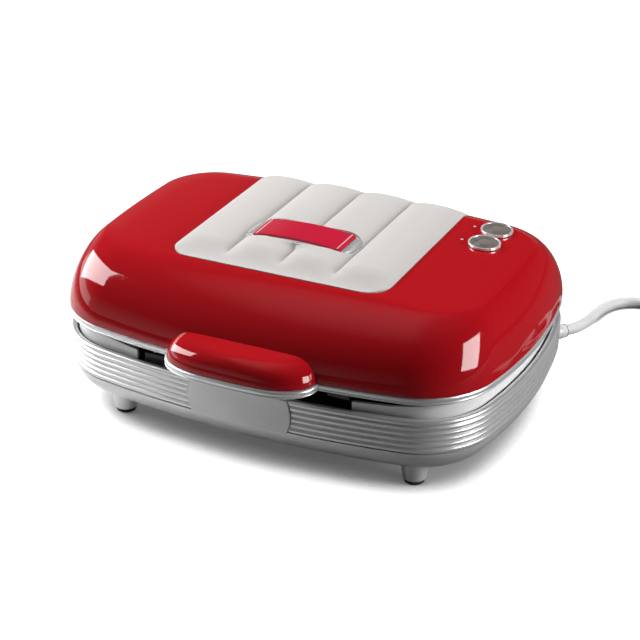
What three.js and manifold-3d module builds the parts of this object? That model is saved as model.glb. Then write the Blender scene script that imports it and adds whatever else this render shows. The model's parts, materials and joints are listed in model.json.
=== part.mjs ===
// Countertop sandwich maker with a domed, hinged lid, in millimetres, +Z up.
// X runs along the front, Y runs to the back, and the feet stand on z = 0.

import * as THREE from 'three';
import { mergeVertices } from 'three/addons/utils/BufferGeometryUtils.js';
import Module from 'manifold-3d';

const wasm = await Module();
wasm.setup();

// Plan of the body: a rectangle with bowed sides and round corners
const body = { halfWidth: 145, halfDepth: 106.3, corner: 48.9, sideBow: 5.1, frontBow: 7.8 };
const outlineSteps = { side: 2, corner: 6, front: 3 };

// Seat clearance between pieces, and how far a cutting tool runs past its work
const gap = 0.3;
const overrun = 4;

// Heights, stacked from the table
const padHeight = 2.5;
const legHeight = 7.2;
const panHeight = 22;
const bandHeight = 22;
const mouthHeight = 10;
const rimHeight = 5;
const domeHeight = 41.7;
const panBottom = padHeight + gap + legHeight;
const bandBottom = panBottom + panHeight;
const bandTop = bandBottom + bandHeight;
const rimBottom = bandTop + mouthHeight;
const rimTop = rimBottom + rimHeight;
const lidTop = rimTop + domeHeight;

// Cooking plates, with their faces meeting just under the lid rim
const plate = {
  sideMargin: 27,
  frontMargin: 30.3,
  sideFlange: 9,
  frontFlange: 13.5,
  corner: 12,
  flange: 3,
  closing: 1,
  partingDrop: 3,
  wall: 2.5,
  pocketDepth: 14,
  pocketInset: 9,
  pocketCorner: 14,
  bridge: 9,
  ridge: 8,
  ridgeHeight: 9,
};
const plateTaperShare = 0.35;
const parting = rimBottom - plate.partingDrop;
const plateHalf = { width: body.halfWidth - plate.sideMargin, depth: body.halfDepth - plate.frontMargin };
const wellHalf = { width: plateHalf.width - plate.sideFlange, depth: plateHalf.depth - plate.frontFlange };
const pocketHalf = {
  width: (wellHalf.width - plate.wall - plate.bridge / 2) / 2,
  depth: wellHalf.depth - plate.wall - plate.pocketInset,
};
const panelMargin = { side: 74.4, front: 44.3, back: 24.3 };
const panelHalf = {
  width: body.halfWidth - panelMargin.side,
  front: body.halfDepth - panelMargin.front,
  back: body.halfDepth - panelMargin.back,
};

// Hinge behind the body
const hinge = { reach: 7.2, drop: 2.5, radius: 5, pin: 2, sideMargin: 83, ear: 5, middle: 12 };
const hingeY = body.halfDepth + hinge.reach;
const hingeZ = rimBottom - hinge.drop;
const hingeX = body.halfWidth - hinge.sideMargin;

// Mains cord
const cord = { diameter: 7.2, sides: 8, coilSides: 6 };
const cordRadius = cord.diameter / 2;

const colours = {
  red: [0xa8141a, 0.22, 0.0],
  silver: [0xb9b9bb, 0.38, 0.75],
  pale: [0xd2d2d4, 0.45, 0.1],
  panel: [0xd4cecb, 0.5, 0.0],
  chrome: [0xd8d8da, 0.12, 1.0],
  enamel: [0xc01528, 0.2, 0.0],
  lens: [0x56504e, 0.25, 0.0],
  black: [0x19191b, 0.6, 0.0],
  coating: [0x262627, 0.55, 0.1],
  steel: [0xa6a6a8, 0.35, 0.9],
  rubber: [0x1a1a1a, 0.9, 0.0],
  sheath: [0xdcdcde, 0.5, 0.0],
  ceramic: [0xe7e2d6, 0.7, 0.0],
  brass: [0xc9a552, 0.3, 0.9],
};

const model = new THREE.Group();

// The four corners of a rectangle about the middle, each with its name
function corners(x, y) {
  return [
    { name: 'rear_right', x, y },
    { name: 'rear_left', x: -x, y },
    { name: 'front_left', x: -x, y: -y },
    { name: 'front_right', x, y: -y },
  ];
}

function material(name) {
  const [color, roughness, metalness] = colours[name];
  return new THREE.MeshStandardMaterial({ color, roughness, metalness });
}

function add(name, geometry, finish) {
  const mesh = new THREE.Mesh(geometry, material(finish));
  mesh.name = name;
  model.add(mesh);
  return mesh;
}

// Solids: a geometry becomes a solid to be cut or joined, and comes back as a geometry

const weld = 1e-4;

function solid(geometry) {
  const bare = geometry.clone();
  for (const key of Object.keys(bare.attributes)) {
    if (key !== 'position') bare.deleteAttribute(key);
  }
  const merged = mergeVertices(bare, weld);
  const count = merged.attributes.position.count;
  const index = merged.index ? merged.index.array : Uint32Array.from({ length: count }, (_, i) => i);
  return new wasm.Manifold(new wasm.Mesh({
    numProp: 3,
    vertProperties: Float32Array.from(merged.attributes.position.array),
    triVerts: Uint32Array.from(index),
  }));
}

function geometry(shape) {
  const mesh = shape.getMesh();
  const points = new Float32Array(mesh.numVert * 3);
  for (let i = 0; i < mesh.numVert; i += 1) {
    for (let k = 0; k < 3; k += 1) points[3 * i + k] = mesh.vertProperties[mesh.numProp * i + k];
  }
  const result = new THREE.BufferGeometry();
  result.setAttribute('position', new THREE.BufferAttribute(points, 3));
  result.setIndex(new THREE.BufferAttribute(Uint32Array.from(mesh.triVerts), 1));
  result.computeVertexNormals();
  return result;
}

function cut(base, ...tools) {
  return tools.reduce((left, tool) => left.subtract(tool), base);
}

function join(base, ...extras) {
  return extras.reduce((left, extra) => left.add(extra), base);
}

// Plan outlines

const bodyShape = (inset) => ({
  a: body.halfWidth - inset,
  b: body.halfDepth - inset,
  r: body.corner - inset,
  bowX: body.sideBow,
  bowY: body.frontBow,
});

function outline({ a, b, r, bowX, bowY }) {
  const xa = a - r - bowX;
  const ya = b - r - bowY;
  const frontArc = (xa * xa + bowY * bowY) / (2 * bowY);
  const sideArc = (ya * ya + bowX * bowX) / (2 * bowX);
  const frontAngle = Math.asin(xa / frontArc);
  const sideAngle = Math.asin(ya / sideArc);
  const quarter = [];
  for (let k = 0; k < outlineSteps.side; k += 1) {
    const t = (sideAngle * k) / outlineSteps.side;
    quarter.push([a - (sideArc + r) * (1 - Math.cos(t)), (sideArc + r) * Math.sin(t)]);
  }
  for (let k = 0; k < outlineSteps.corner; k += 1) {
    const t = sideAngle + ((Math.PI / 2 - frontAngle - sideAngle) * k) / outlineSteps.corner;
    quarter.push([xa + r * Math.cos(t), ya + r * Math.sin(t)]);
  }
  for (let k = 0; k <= outlineSteps.front; k += 1) {
    const t = frontAngle * (1 - k / outlineSteps.front);
    quarter.push([(frontArc + r) * Math.sin(t), b - (frontArc + r) * (1 - Math.cos(t))]);
  }
  const last = quarter.length - 1;
  const there = quarter.slice(0, last);
  const back = quarter.slice(1).reverse();
  return [
    ...there,
    ...back.map(([x, y]) => [-x, y]),
    ...there.map(([x, y]) => [-x, -y]),
    ...back.map(([x, y]) => [x, -y]),
  ];
}

// Lofts: rings of equal count, closed by two caps or onto themselves

function loft(rings, closed = false) {
  const n = rings[0].length;
  const points = rings.flat();
  const faces = [];
  const spans = closed ? rings.length : rings.length - 1;
  for (let i = 0; i < spans; i += 1) {
    const low = i * n;
    const high = ((i + 1) % rings.length) * n;
    for (let k = 0; k < n; k += 1) {
      const next = (k + 1) % n;
      faces.push(low + k, low + next, high + next, low + k, high + next, high + k);
    }
  }
  if (!closed) {
    for (const [ring, flip] of [[0, true], [rings.length - 1, false]]) {
      const centre = new THREE.Vector3();
      rings[ring].forEach((p) => centre.add(p));
      centre.multiplyScalar(1 / n);
      const hub = points.push(centre) - 1;
      for (let k = 0; k < n; k += 1) {
        const pair = [ring * n + k, ring * n + ((k + 1) % n)];
        if (flip) pair.reverse();
        faces.push(pair[0], pair[1], hub);
      }
    }
  }
  return facing(points, faces);
}

// Turns the faces outwards, whichever way the points ran
function facing(points, faces) {
  let volume = 0;
  for (let i = 0; i < faces.length; i += 3) {
    const [p, q, r] = [points[faces[i]], points[faces[i + 1]], points[faces[i + 2]]];
    volume += p.dot(new THREE.Vector3().crossVectors(q, r));
  }
  if (volume < 0) {
    for (let i = 0; i < faces.length; i += 3) [faces[i], faces[i + 1]] = [faces[i + 1], faces[i]];
  }
  const result = new THREE.BufferGeometry().setFromPoints(points);
  result.setIndex(faces);
  return result;
}

const level = (shape, z) => outline(shape).map(([x, y]) => new THREE.Vector3(x, y, z));
const bodyRing = (inset, z) => level(bodyShape(inset), z);

// A wall that follows the body's outline, from a closed list of [inset, height]
const wall = (profile) => loft(profile.map(([inset, z]) => bodyRing(inset, z)), true);

// A block that fills the body's outline between two heights
const slug = (inset, low, high) => loft([bodyRing(inset, low), bodyRing(inset, high)]);

// A sheet between two height functions; place(u, v) maps the unit square onto its plan
function sheet({ across, along, place, low, high }) {
  const points = [];
  const faces = [];
  const columns = across + 1;
  for (const height of [low, high]) {
    for (let j = 0; j <= along; j += 1) {
      for (let i = 0; i <= across; i += 1) {
        const [x, y] = place(i / across, j / along);
        points.push(new THREE.Vector3(x, y, height(x, y)));
      }
    }
  }
  const layer = columns * (along + 1);
  const quad = (p, q, r, s) => faces.push(p, q, r, p, r, s);
  for (let j = 0; j < along; j += 1) {
    for (let i = 0; i < across; i += 1) {
      const k = j * columns + i;
      quad(k, k + columns, k + columns + 1, k + 1);
      quad(layer + k, layer + k + 1, layer + k + columns + 1, layer + k + columns);
    }
  }
  const edge = [];
  for (let i = 0; i < across; i += 1) edge.push(i);
  for (let j = 0; j < along; j += 1) edge.push(j * columns + across);
  for (let i = across; i > 0; i -= 1) edge.push(along * columns + i);
  for (let j = along; j > 0; j -= 1) edge.push(j * columns);
  for (let k = 0; k < edge.length; k += 1) {
    const [p, q] = [edge[k], edge[(k + 1) % edge.length]];
    quad(p, q, q + layer, p + layer);
  }
  return facing(points, faces);
}

// Rounded rectangle as a Shape, for extrusions
function rounded(halfX, halfY, r) {
  const shape = new THREE.Shape();
  shape.absarc(halfX - r, halfY - r, r, 0, Math.PI / 2);
  shape.absarc(-halfX + r, halfY - r, r, Math.PI / 2, Math.PI);
  shape.absarc(-halfX + r, -halfY + r, r, Math.PI, 1.5 * Math.PI);
  shape.absarc(halfX - r, -halfY + r, r, 1.5 * Math.PI, 2 * Math.PI);
  return shape;
}

function extrude(shape, low, high, curveSegments = 4) {
  const result = new THREE.ExtrudeGeometry(shape, { depth: high - low, bevelEnabled: false, curveSegments });
  return result.translate(0, 0, low);
}

// A rounded box whose plan changes from one size to another with height
function taperedBox(low, high, z0, z1, steps = 3) {
  const ring = ({ halfX, halfY, r }, z) => {
    const points = [];
    for (let q = 0; q < 4; q += 1) {
      const sx = q === 0 || q === 3 ? 1 : -1;
      const sy = q < 2 ? 1 : -1;
      for (let k = 0; k <= steps; k += 1) {
        const t = (Math.PI / 2) * (q + k / steps);
        const [x, y] = [sx * (halfX - r) + r * Math.cos(t), sy * (halfY - r) + r * Math.sin(t)];
        points.push(new THREE.Vector3(x, y, z));
      }
    }
    return points;
  };
  return loft([ring(low, z0), ring(high, z1)]);
}

// A turned piece about +Z from a list of [radius, height] that starts and ends on the axis
function turned(profile, sides) {
  const points = profile.map(([r, z]) => new THREE.Vector2(r, z));
  return new THREE.LatheGeometry(points, sides).rotateX(Math.PI / 2);
}

const rod = (radius, low, high, sides) => turned([[0, low], [radius, low], [radius, high], [0, high]], sides);

// A block given by its lowest and highest corners
function block(low, high) {
  const size = high.map((value, k) => value - low[k]);
  const box = new THREE.BoxGeometry(...size);
  return box.translate(...low.map((value, k) => value + size[k] / 2));
}

// A round bar along X between two places
function barX(radius, x0, x1, y, z, sides) {
  return rod(radius, x0, x1, sides).rotateY(Math.PI / 2).translate(0, y, z);
}

function tube(points, radius, sides, steps) {
  const section = new THREE.Shape();
  for (let k = 0; k < sides; k += 1) {
    const t = (2 * Math.PI * (k + 1 / 2)) / sides;
    const [x, y] = [radius * Math.cos(t), radius * Math.sin(t)];
    if (k === 0) section.moveTo(x, y);
    else section.lineTo(x, y);
  }
  section.closePath();
  const path = new THREE.CatmullRomCurve3(points, false, 'centripetal');
  return new THREE.ExtrudeGeometry(section, { steps, extrudePath: path, curveSegments: 1 });
}

// Underpan: rounded sides, a flat floor, four legs and four screw bosses

const pan = {
  wall: 2.5,
  rollIn: 34,
  topInset: 1.5,
  legSideMargin: 47.3,
  legFrontMargin: 34.1,
  legTop: 8,
  legFoot: 7,
  legRoot: 6,
  bossSideMargin: 85,
  bossFrontMargin: 66.3,
  bossRadius: 5,
};
const vent = { length: 34, width: 3, pitch: 8, count: 3, y: 30 };
const panSteps = { outside: 5, inside: 3 };
const panShare = 1.8;

function panRings(offset, lift, steps) {
  const rings = [];
  for (let k = 0; k <= steps; k += 1) {
    const t = (Math.PI / 2) * (k / steps);
    const inset = pan.topInset + offset + pan.rollIn * (1 - Math.sin(t) ** (2 / panShare));
    const z = bandBottom - gap - (panHeight - gap - lift) * Math.cos(t) ** (2 / panShare);
    rings.push(bodyRing(inset, z));
  }
  return rings;
}

const screw = { head: 3.5, headHeight: 1.3, shank: 1.9 };
const reflector = { sheet: 1, draft: 2, flange: 6 };
const elementRadius = 3.25;
const plateUnderside = parting - plate.closing / 2 - plate.pocketDepth - plate.wall;
const lowerTrayFloor = plateUnderside - 2 * gap - 2 * elementRadius;

const legPlaces = corners(body.halfWidth - pan.legSideMargin, body.halfDepth - pan.legFrontMargin);
const panScrewPlaces = corners(body.halfWidth - pan.bossSideMargin, body.halfDepth - pan.bossFrontMargin);

const glandPlace = { turn: Math.PI / 3, z: 22, neck: 5, slope: 0.1 };
const glandFoot = new THREE.Vector3(
  body.halfWidth - body.corner - body.sideBow + body.corner * Math.cos(glandPlace.turn),
  body.halfDepth - body.corner - body.frontBow + body.corner * Math.sin(glandPlace.turn),
  glandPlace.z,
);
const glandAxis = new THREE.Vector3(Math.cos(glandPlace.turn), Math.sin(glandPlace.turn), -glandPlace.slope);
glandAxis.normalize();

// Turns a piece made about +Z so that it points along the cord's exit
function alongGland(shape) {
  const turn = new THREE.Quaternion().setFromUnitVectors(new THREE.Vector3(0, 0, 1), glandAxis);
  return shape.applyQuaternion(turn).translate(...glandFoot.toArray());
}

{
  const hollow = panRings(pan.wall, pan.wall, panSteps.inside);
  const inside = solid(loft([...hollow, bodyRing(pan.topInset + pan.wall, bandTop)]));
  const shell = solid(loft([...panRings(0, 0, panSteps.outside), ...hollow.reverse()]));
  const legs = legPlaces.map(({ x, y }) => {
    const legProfile = [
      [0, 0],
      [pan.legFoot, 0],
      [pan.legTop, legHeight],
      [pan.legTop, legHeight + pan.legRoot],
      [0, legHeight + pan.legRoot],
    ];
    return solid(turned(legProfile, 10).translate(x, y, padHeight + gap)).subtract(inside);
  });
  const bossTop = lowerTrayFloor - reflector.sheet - gap;
  const bosses = panScrewPlaces.map(({ x, y }) => (
    solid(rod(pan.bossRadius, panBottom, bossTop, 8).translate(x, y, 0))
  ));
  const bores = panScrewPlaces.map(({ x, y }) => (
    solid(rod(screw.shank + gap, panBottom - overrun, bossTop + overrun, 8).translate(x, y, 0))
  ));
  const vents = [];
  for (let k = 0; k < vent.count; k += 1) {
    const x = vent.pitch * (k - (vent.count - 1) / 2);
    for (const side of [-1, 1]) {
      const middle = side * vent.y;
      vents.push(solid(block(
        [x - vent.width / 2, middle - vent.length / 2, panBottom - overrun],
        [x + vent.width / 2, middle + vent.length / 2, panBottom + overrun],
      )));
    }
  }
  const entry = solid(alongGland(rod(glandPlace.neck + gap, -4 * overrun, 2 * overrun, 16)));
  add('base_pan', geometry(cut(join(shell, ...legs, ...bosses), ...bores, ...vents, entry)), 'silver');
}

// Rubber feet
const foot = { radius: 6.2, chamfer: 0.6 };
legPlaces.forEach(({ name, x, y }) => {
  const profile = [
    [0, 0],
    [foot.radius - foot.chamfer, 0],
    [foot.radius, foot.chamfer],
    [foot.radius, padHeight],
    [0, padHeight],
  ];
  add(`foot_pad_${name}`, turned(profile, 12), 'rubber').position.set(x, y, 0);
});

// Screw with a round head, head down
const screwFaceShare = 0.6;

function screwPiece(length) {
  const profile = [
    [0, 0],
    [screw.head * screwFaceShare, 0],
    [screw.head, screw.headHeight / 2],
    [screw.head, screw.headHeight],
    [screw.shank, screw.headHeight],
    [screw.shank, length],
    [0, length],
  ];
  return turned(profile, 6);
}

panScrewPlaces.forEach(({ name, x, y }) => {
  const z = panBottom - gap - screw.headHeight;
  add(`pan_screw_${name}`, screwPiece(lowerTrayFloor - z), 'steel').position.set(x, y, z);
});

// Ribbed band: a top bead and five ribs outside, a ledge for the deck inside

const band = {
  ribs: 5,
  ribDepth: 1.2,
  bead: 3.6,
  wall: 3.4,
  ledge: 7,
  ledgeHeight: 2,
  deckDrop: 3.8,
  lead: 0.35,
};
const ribPitch = (bandHeight - band.bead) / band.ribs;
const ribShares = [0.1, 0.32, 0.8];
const beadShares = { neck: 0.95, low: 0.75, high: 0.3 };
const deckBottom = bandTop - band.deckDrop;

const bandProfile = [];
for (let k = 0; k < band.ribs; k += 1) {
  const z = bandBottom + k * ribPitch;
  const lead = band.lead * (1 - k / band.ribs);
  bandProfile.push([lead + band.ribDepth, z + ribPitch * ribShares[0]]);
  bandProfile.push([lead, z + ribPitch * ribShares[1]]);
  bandProfile.push([lead, z + ribPitch * ribShares[2]]);
}
bandProfile.push([band.ribDepth, bandTop - band.bead * beadShares.neck]);
bandProfile.push([0, bandTop - band.bead * beadShares.low]);
bandProfile.push([0, bandTop - band.bead * beadShares.high]);
bandProfile.push([band.bead * beadShares.high, bandTop]);
bandProfile.push([band.wall, bandTop]);
bandProfile.push([band.wall, deckBottom - gap]);
bandProfile.push([band.ledge, deckBottom - gap]);
bandProfile.push([band.ledge, deckBottom - gap - band.ledgeHeight]);
bandProfile.push([band.wall, deckBottom - gap - 2 * band.ledgeHeight]);
bandProfile.push([band.wall, bandBottom]);

// Front plaque, let into the ribs, its ends swelling at mid height
const plaque = { halfWidth: 31, swell: 2.5, proud: 0.6, depth: 1.9 };

function plaqueTool(grow, outside, inside) {
  const shape = new THREE.Shape();
  const half = plaque.halfWidth + grow;
  const [low, high] = [bandBottom - grow, bandTop + grow];
  const middle = (low + high) / 2;
  shape.moveTo(-half, low);
  shape.lineTo(half, low);
  shape.quadraticCurveTo(half + 2 * plaque.swell, middle, half, high);
  shape.lineTo(-half, high);
  shape.quadraticCurveTo(-half - 2 * plaque.swell, middle, -half, low);
  const depth = body.halfDepth + overrun;
  const prism = new THREE.ExtrudeGeometry(shape, { depth, bevelEnabled: false, curveSegments: 6 });
  const front = solid(prism.rotateX(Math.PI / 2));
  const ring = solid(slug(outside, low, high)).subtract(solid(slug(inside, low - overrun, high + overrun)));
  return front.intersect(ring);
}

const hingeSides = [[1, 'right'], [-1, 'left']];

{
  const recess = plaqueTool(gap, -plaque.proud - overrun, plaque.depth);
  add('base_band', geometry(solid(wall(bandProfile)).subtract(recess)), 'silver');
  add('front_plaque', geometry(plaqueTool(0, -plaque.proud, plaque.depth - gap)), 'pale');
}

// Deck that carries the lower plate: a sheet with a raised collar round the well

const deck = { sheet: 2.5, outer: band.wall + gap, clearance: 1.5, collar: 3.5 };
const deckTop = deckBottom + deck.sheet;
const lowerFlangeBottom = parting - plate.closing / 2 - plate.flange;
const collarTop = lowerFlangeBottom - gap;
const wellCut = (grow) => rounded(
  wellHalf.width + deck.clearance + grow,
  wellHalf.depth + deck.clearance + grow,
  plate.corner + grow,
);

// Catches: a small slide in front of each plate that hooks over the plate's tongue
const latch = {
  sideMargin: 85,
  halfWidth: 7,
  travel: 4.5,
  tongue: 4,
  tongueThick: 1.5,
  length: 7,
  hook: 3.4,
  hookThick: 1.6,
  springRoom: 3.5,
  post: 2,
  springRadius: 2,
  springWire: 0.45,
  springTurns: 4,
  springSides: 4,
  springSteps: 8,
};
const latchX = body.halfWidth - latch.sideMargin;
const latchFront = -plateHalf.depth - latch.tongue - gap - latch.length;
const postY = latchFront - latch.travel - latch.springRoom;
const latchRise = lowerFlangeBottom + latch.tongueThick - deckTop - gap;

const rimWall = { inset: 5, thick: 2, drop: 2 };
const mouth = {
  leftMargin: 72.5,
  leftSlope: 33,
  leftDrop: 3,
  rightMargin: 76.5,
  rightSlope: 45,
  rightDrop: 3.6,
  rightLip: 2.6,
};
const lipTop = rimBottom - rimWall.drop;

{
  const sheetRing = solid(slug(deck.outer, deckBottom, deckTop)).subtract(
    solid(extrude(wellCut(0), deckBottom - overrun, deckTop + overrun)),
  );
  const collar = solid(extrude(wellCut(deck.collar), deckBottom, collarTop)).subtract(
    solid(extrude(wellCut(0), deckBottom - overrun, collarTop + overrun)),
  );
  const postTop = deckTop + gap + latchRise;
  const post = solid(block(
    [-latchX - latch.halfWidth, postY - latch.post, deckBottom],
    [-latchX + latch.halfWidth, postY, postTop],
  ));
  add('base_deck', geometry(join(sheetRing, collar, post)), 'black');
}

// Pale lip inside the edge of the base, sloping down to an opening along the front
{
  const ring = solid(wall([
    [rimWall.inset, deckTop + gap],
    [rimWall.inset, lipTop - rimWall.thick / 2],
    [rimWall.inset + rimWall.thick / 2, lipTop],
    [rimWall.inset + rimWall.thick, lipTop],
    [rimWall.inset + rimWall.thick, deckTop + gap],
  ]));
  const left = mouth.leftMargin - body.halfWidth;
  const right = body.halfWidth - mouth.rightMargin;
  const opening = new THREE.Shape();
  opening.moveTo(left, deckTop - overrun);
  opening.lineTo(right, deckTop - overrun);
  opening.lineTo(right, lipTop - mouth.rightDrop);
  opening.lineTo(right + mouth.rightSlope / 2, lipTop - mouth.rightLip);
  opening.lineTo(right + mouth.rightSlope, lipTop);
  opening.lineTo(right + mouth.rightSlope, lipTop + overrun);
  opening.lineTo(left - mouth.leftSlope, lipTop + overrun);
  opening.lineTo(left - mouth.leftSlope, lipTop);
  opening.lineTo(left, lipTop - mouth.leftDrop);
  opening.closePath();
  const cutter = extrude(opening, body.halfDepth / 2, body.halfDepth + overrun).rotateX(Math.PI / 2);
  add('base_rim', geometry(ring.subtract(solid(cutter))), 'pale');
}

// Cooking plates: one shape, used face up in the base and face down in the lid

// A square pocket, closed below, with a ridge that marks it off into two triangles
function pocketTool(x) {
  const halfX = pocketHalf.width - plate.wall;
  const halfY = pocketHalf.depth - plate.wall;
  const taper = plate.pocketDepth * plateTaperShare;
  const bottom = { halfX: halfX - taper, halfY: halfY - taper, r: plate.pocketCorner - taper / 2 };
  const grown = taper * (overrun / plate.pocketDepth);
  const top = { halfX: halfX + grown, halfY: halfY + grown, r: plate.pocketCorner + grown };
  const basin = solid(taperedBox(bottom, top, -plate.pocketDepth, overrun));
  const ridge = new THREE.Shape();
  ridge.moveTo(-plate.ridge / 2, -plate.pocketDepth - gap);
  ridge.lineTo(plate.ridge / 2, -plate.pocketDepth - gap);
  ridge.lineTo(plate.ridge / 5, plate.ridgeHeight - plate.pocketDepth);
  ridge.lineTo(-plate.ridge / 5, plate.ridgeHeight - plate.pocketDepth);
  const reach = Math.hypot(halfX, halfY) + overrun;
  const bar = new THREE.ExtrudeGeometry(ridge, { depth: 2 * reach, bevelEnabled: false });
  bar.rotateX(Math.PI / 2).translate(0, reach, 0).rotateZ(Math.sign(x) * Math.atan2(halfX, halfY));
  return basin.subtract(solid(bar)).translate([x, 0, 0]);
}

function plateSolid() {
  const flange = solid(extrude(rounded(plateHalf.width, plateHalf.depth, plate.corner), -plate.flange, 0));
  const taper = plate.pocketDepth * plateTaperShare;
  const low = -plate.pocketDepth - plate.wall;
  const well = solid(taperedBox(
    { halfX: wellHalf.width - taper, halfY: wellHalf.depth - taper, r: plate.corner },
    { halfX: wellHalf.width, halfY: wellHalf.depth, r: plate.corner },
    low,
    -plate.flange / 2,
  ));
  const tongue = solid(block(
    [-latchX - latch.halfWidth, -plateHalf.depth - latch.tongue, -plate.flange],
    [-latchX + latch.halfWidth, -plateHalf.depth + plate.flange, latch.tongueThick - plate.flange],
  ));
  const pocketX = plate.bridge / 2 + pocketHalf.width;
  return cut(join(flange, well, tongue), pocketTool(-pocketX), pocketTool(pocketX));
}

const lowerFace = parting - plate.closing / 2;
const upperFace = parting + plate.closing / 2;
{
  add('lower_plate', geometry(plateSolid()), 'coating').position.z = lowerFace;
  const upper = add('upper_plate', geometry(plateSolid().rotate([0, 180, 0])), 'coating');
  upper.position.z = upperFace;
}

// Reflector trays behind the elements, with a flange against the carrier
function tray(depth) {
  const halfX = wellHalf.width + deck.clearance + reflector.sheet;
  const halfY = wellHalf.depth + deck.clearance + reflector.sheet;
  const rim = rounded(halfX + reflector.flange, halfY + reflector.flange, plate.corner);
  const flange = solid(extrude(rim, -reflector.sheet, 0));
  const bowlShape = (grow, low, high) => solid(taperedBox(
    { halfX: halfX - reflector.draft + grow, halfY: halfY - reflector.draft + grow, r: plate.corner },
    { halfX: halfX + grow, halfY: halfY + grow, r: plate.corner },
    low,
    high,
  ));
  const bowl = bowlShape(0, -depth, 0);
  const hollow = bowlShape(-reflector.sheet, -depth + reflector.sheet, overrun / 4);
  const holes = panScrewPlaces.map(({ x, y }) => (
    solid(rod(screw.shank + gap, -depth - overrun, -depth + overrun, 8).translate(x, y, 0))
  ));
  return cut(join(flange, bowl), hollow, ...holes);
}

const trayTop = deckBottom - gap;
const trayDepth = trayTop - lowerTrayFloor + reflector.sheet;
add('lower_reflector', geometry(tray(trayDepth)), 'steel').position.z = trayTop;

const liner = { sheet: 2.4, inset: 2.8 };
const linerBottom = upperFace + plate.flange + gap;
const linerTop = linerBottom + liner.sheet;
const upperTrayFloor = upperFace + plate.pocketDepth + plate.wall + 2 * gap + 2 * elementRadius;
{
  const bottom = linerTop + gap;
  const shape = tray(upperTrayFloor - bottom + reflector.sheet).rotate([0, 180, 0]);
  add('upper_reflector', geometry(shape), 'steel').position.z = bottom;
}

// Heating elements: one bent tube each, pressed between tray and plate
const element = { sideMargin: 31, frontMargin: 18.5, terminal: 18, bend: 20, sides: 6, steps: 24 };

function elementSolid() {
  const w = wellHalf.width - element.sideMargin;
  const d = wellHalf.depth - element.frontMargin;
  const b = element.bend;
  const path = [
    [-element.terminal, d],
    [b - w, d],
    [-w, d - b],
    [-w, b - d],
    [b - w, -d],
    [w - b, -d],
    [w, b - d],
    [w, d - b],
    [w - b, d],
    [element.terminal, d],
  ];
  return tube(path.map(([x, y]) => new THREE.Vector3(x, y, 0)), elementRadius, element.sides, element.steps);
}
add('lower_element', elementSolid(), 'steel').position.z = lowerTrayFloor + gap + elementRadius;
add('upper_element', elementSolid(), 'steel').position.z = upperTrayFloor - gap - elementRadius;

// Thermostats between tray and plate, and a thermal fuse under the lower tray
const thermostat = { radius: 9.5, cap: 7.5, capHeight: 2.5, lug: 3, lugLength: 13 };

function thermostatSolid(height) {
  const can = solid(turned([
    [0, 0],
    [thermostat.radius, 0],
    [thermostat.radius, height - thermostat.capHeight],
    [thermostat.cap, height - thermostat.capHeight / 2],
    [thermostat.cap, height],
    [0, height],
  ], 14));
  const lugs = solid(block(
    [-thermostat.lugLength, -thermostat.lug, 0],
    [thermostat.lugLength, thermostat.lug, screw.headHeight],
  ));
  return join(can, lugs);
}

const thermostatHeight = 2 * elementRadius;
{
  const lower = add('lower_thermostat', geometry(thermostatSolid(thermostatHeight)), 'ceramic');
  lower.position.z = lowerTrayFloor + gap;
  const upper = add('upper_thermostat', geometry(thermostatSolid(thermostatHeight)), 'ceramic');
  upper.rotation.y = Math.PI;
  upper.position.z = upperTrayFloor - gap;
}

const fuse = { radius: 2.6, nose: 1.4, length: 14, y: 24 };
{
  const profile = [
    [0, 0],
    [fuse.nose, 0],
    [fuse.radius, fuse.nose],
    [fuse.radius, fuse.length - fuse.nose],
    [fuse.nose, fuse.length],
    [0, fuse.length],
  ];
  const shape = turned(profile, 12).rotateY(Math.PI / 2);
  const z = lowerTrayFloor - reflector.sheet - gap - fuse.radius;
  add('thermal_fuse', shape, 'ceramic').position.set(-fuse.length / 2, fuse.y, z);
}

// Terminal block, inner lead and cord clamp on the pan floor
const terminal = {
  sideMargin: 61,
  backMargin: 80.3,
  halfX: 15,
  halfY: 9,
  height: 13,
  poles: 3,
  screwHole: 2.4,
  depth: 5,
};
const terminalX = body.halfWidth - terminal.sideMargin;
const terminalY = body.halfDepth - terminal.backMargin;
const panFloor = panBottom + pan.wall;
{
  const base = solid(block(
    [terminalX - terminal.halfX, terminalY - terminal.halfY, panFloor + gap],
    [terminalX + terminal.halfX, terminalY + terminal.halfY, panFloor + gap + terminal.height],
  ));
  const top = panFloor + gap + terminal.height;
  const holes = [];
  for (let k = 0; k < terminal.poles; k += 1) {
    const x = terminalX + (terminal.halfX * 2 * (k - 1)) / terminal.poles;
    const hole = rod(terminal.screwHole, top - terminal.depth, top + overrun, 8);
    holes.push(solid(hole.translate(x, terminalY, 0)));
  }
  add('terminal_block', geometry(cut(base, ...holes)), 'ceramic');
}

const gland = {
  flange: 6.6,
  flangeThick: 2,
  flangeFace: 18.3,
  inner: 24,
  length: 22,
  root: 6,
  tip: 4.6,
  grooves: 3,
  groove: 0.7,
};
const grooveShares = [0.25, 0.7, 0.85];
{
  const profile = [
    [0, -gland.inner],
    [gland.tip, -gland.inner],
    [gland.tip, -gland.flangeFace - gland.flangeThick],
    [gland.flange, -gland.flangeFace - gland.flangeThick],
    [gland.flange, -gland.flangeFace],
    [glandPlace.neck, -gland.flangeFace],
    [glandPlace.neck, gland.groove],
  ];
  for (let k = 0; k < gland.grooves; k += 1) {
    const at = (share) => {
      const s = (k + share) / gland.grooves;
      return [gland.root + (gland.tip - gland.root) * s, gland.groove + (gland.length - gland.groove) * s];
    };
    const [[r0, z0], [r1, z1], [r2, z2]] = grooveShares.map(at);
    profile.push([r0, z0], [r1, z1], [r2 - gland.groove, z2]);
  }
  profile.push([gland.tip, gland.length - gland.groove]);
  profile.push([gland.tip, gland.length], [0, gland.length]);
  add('cord_gland', alongGland(turned(profile, 12)), 'sheath');
}

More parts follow.
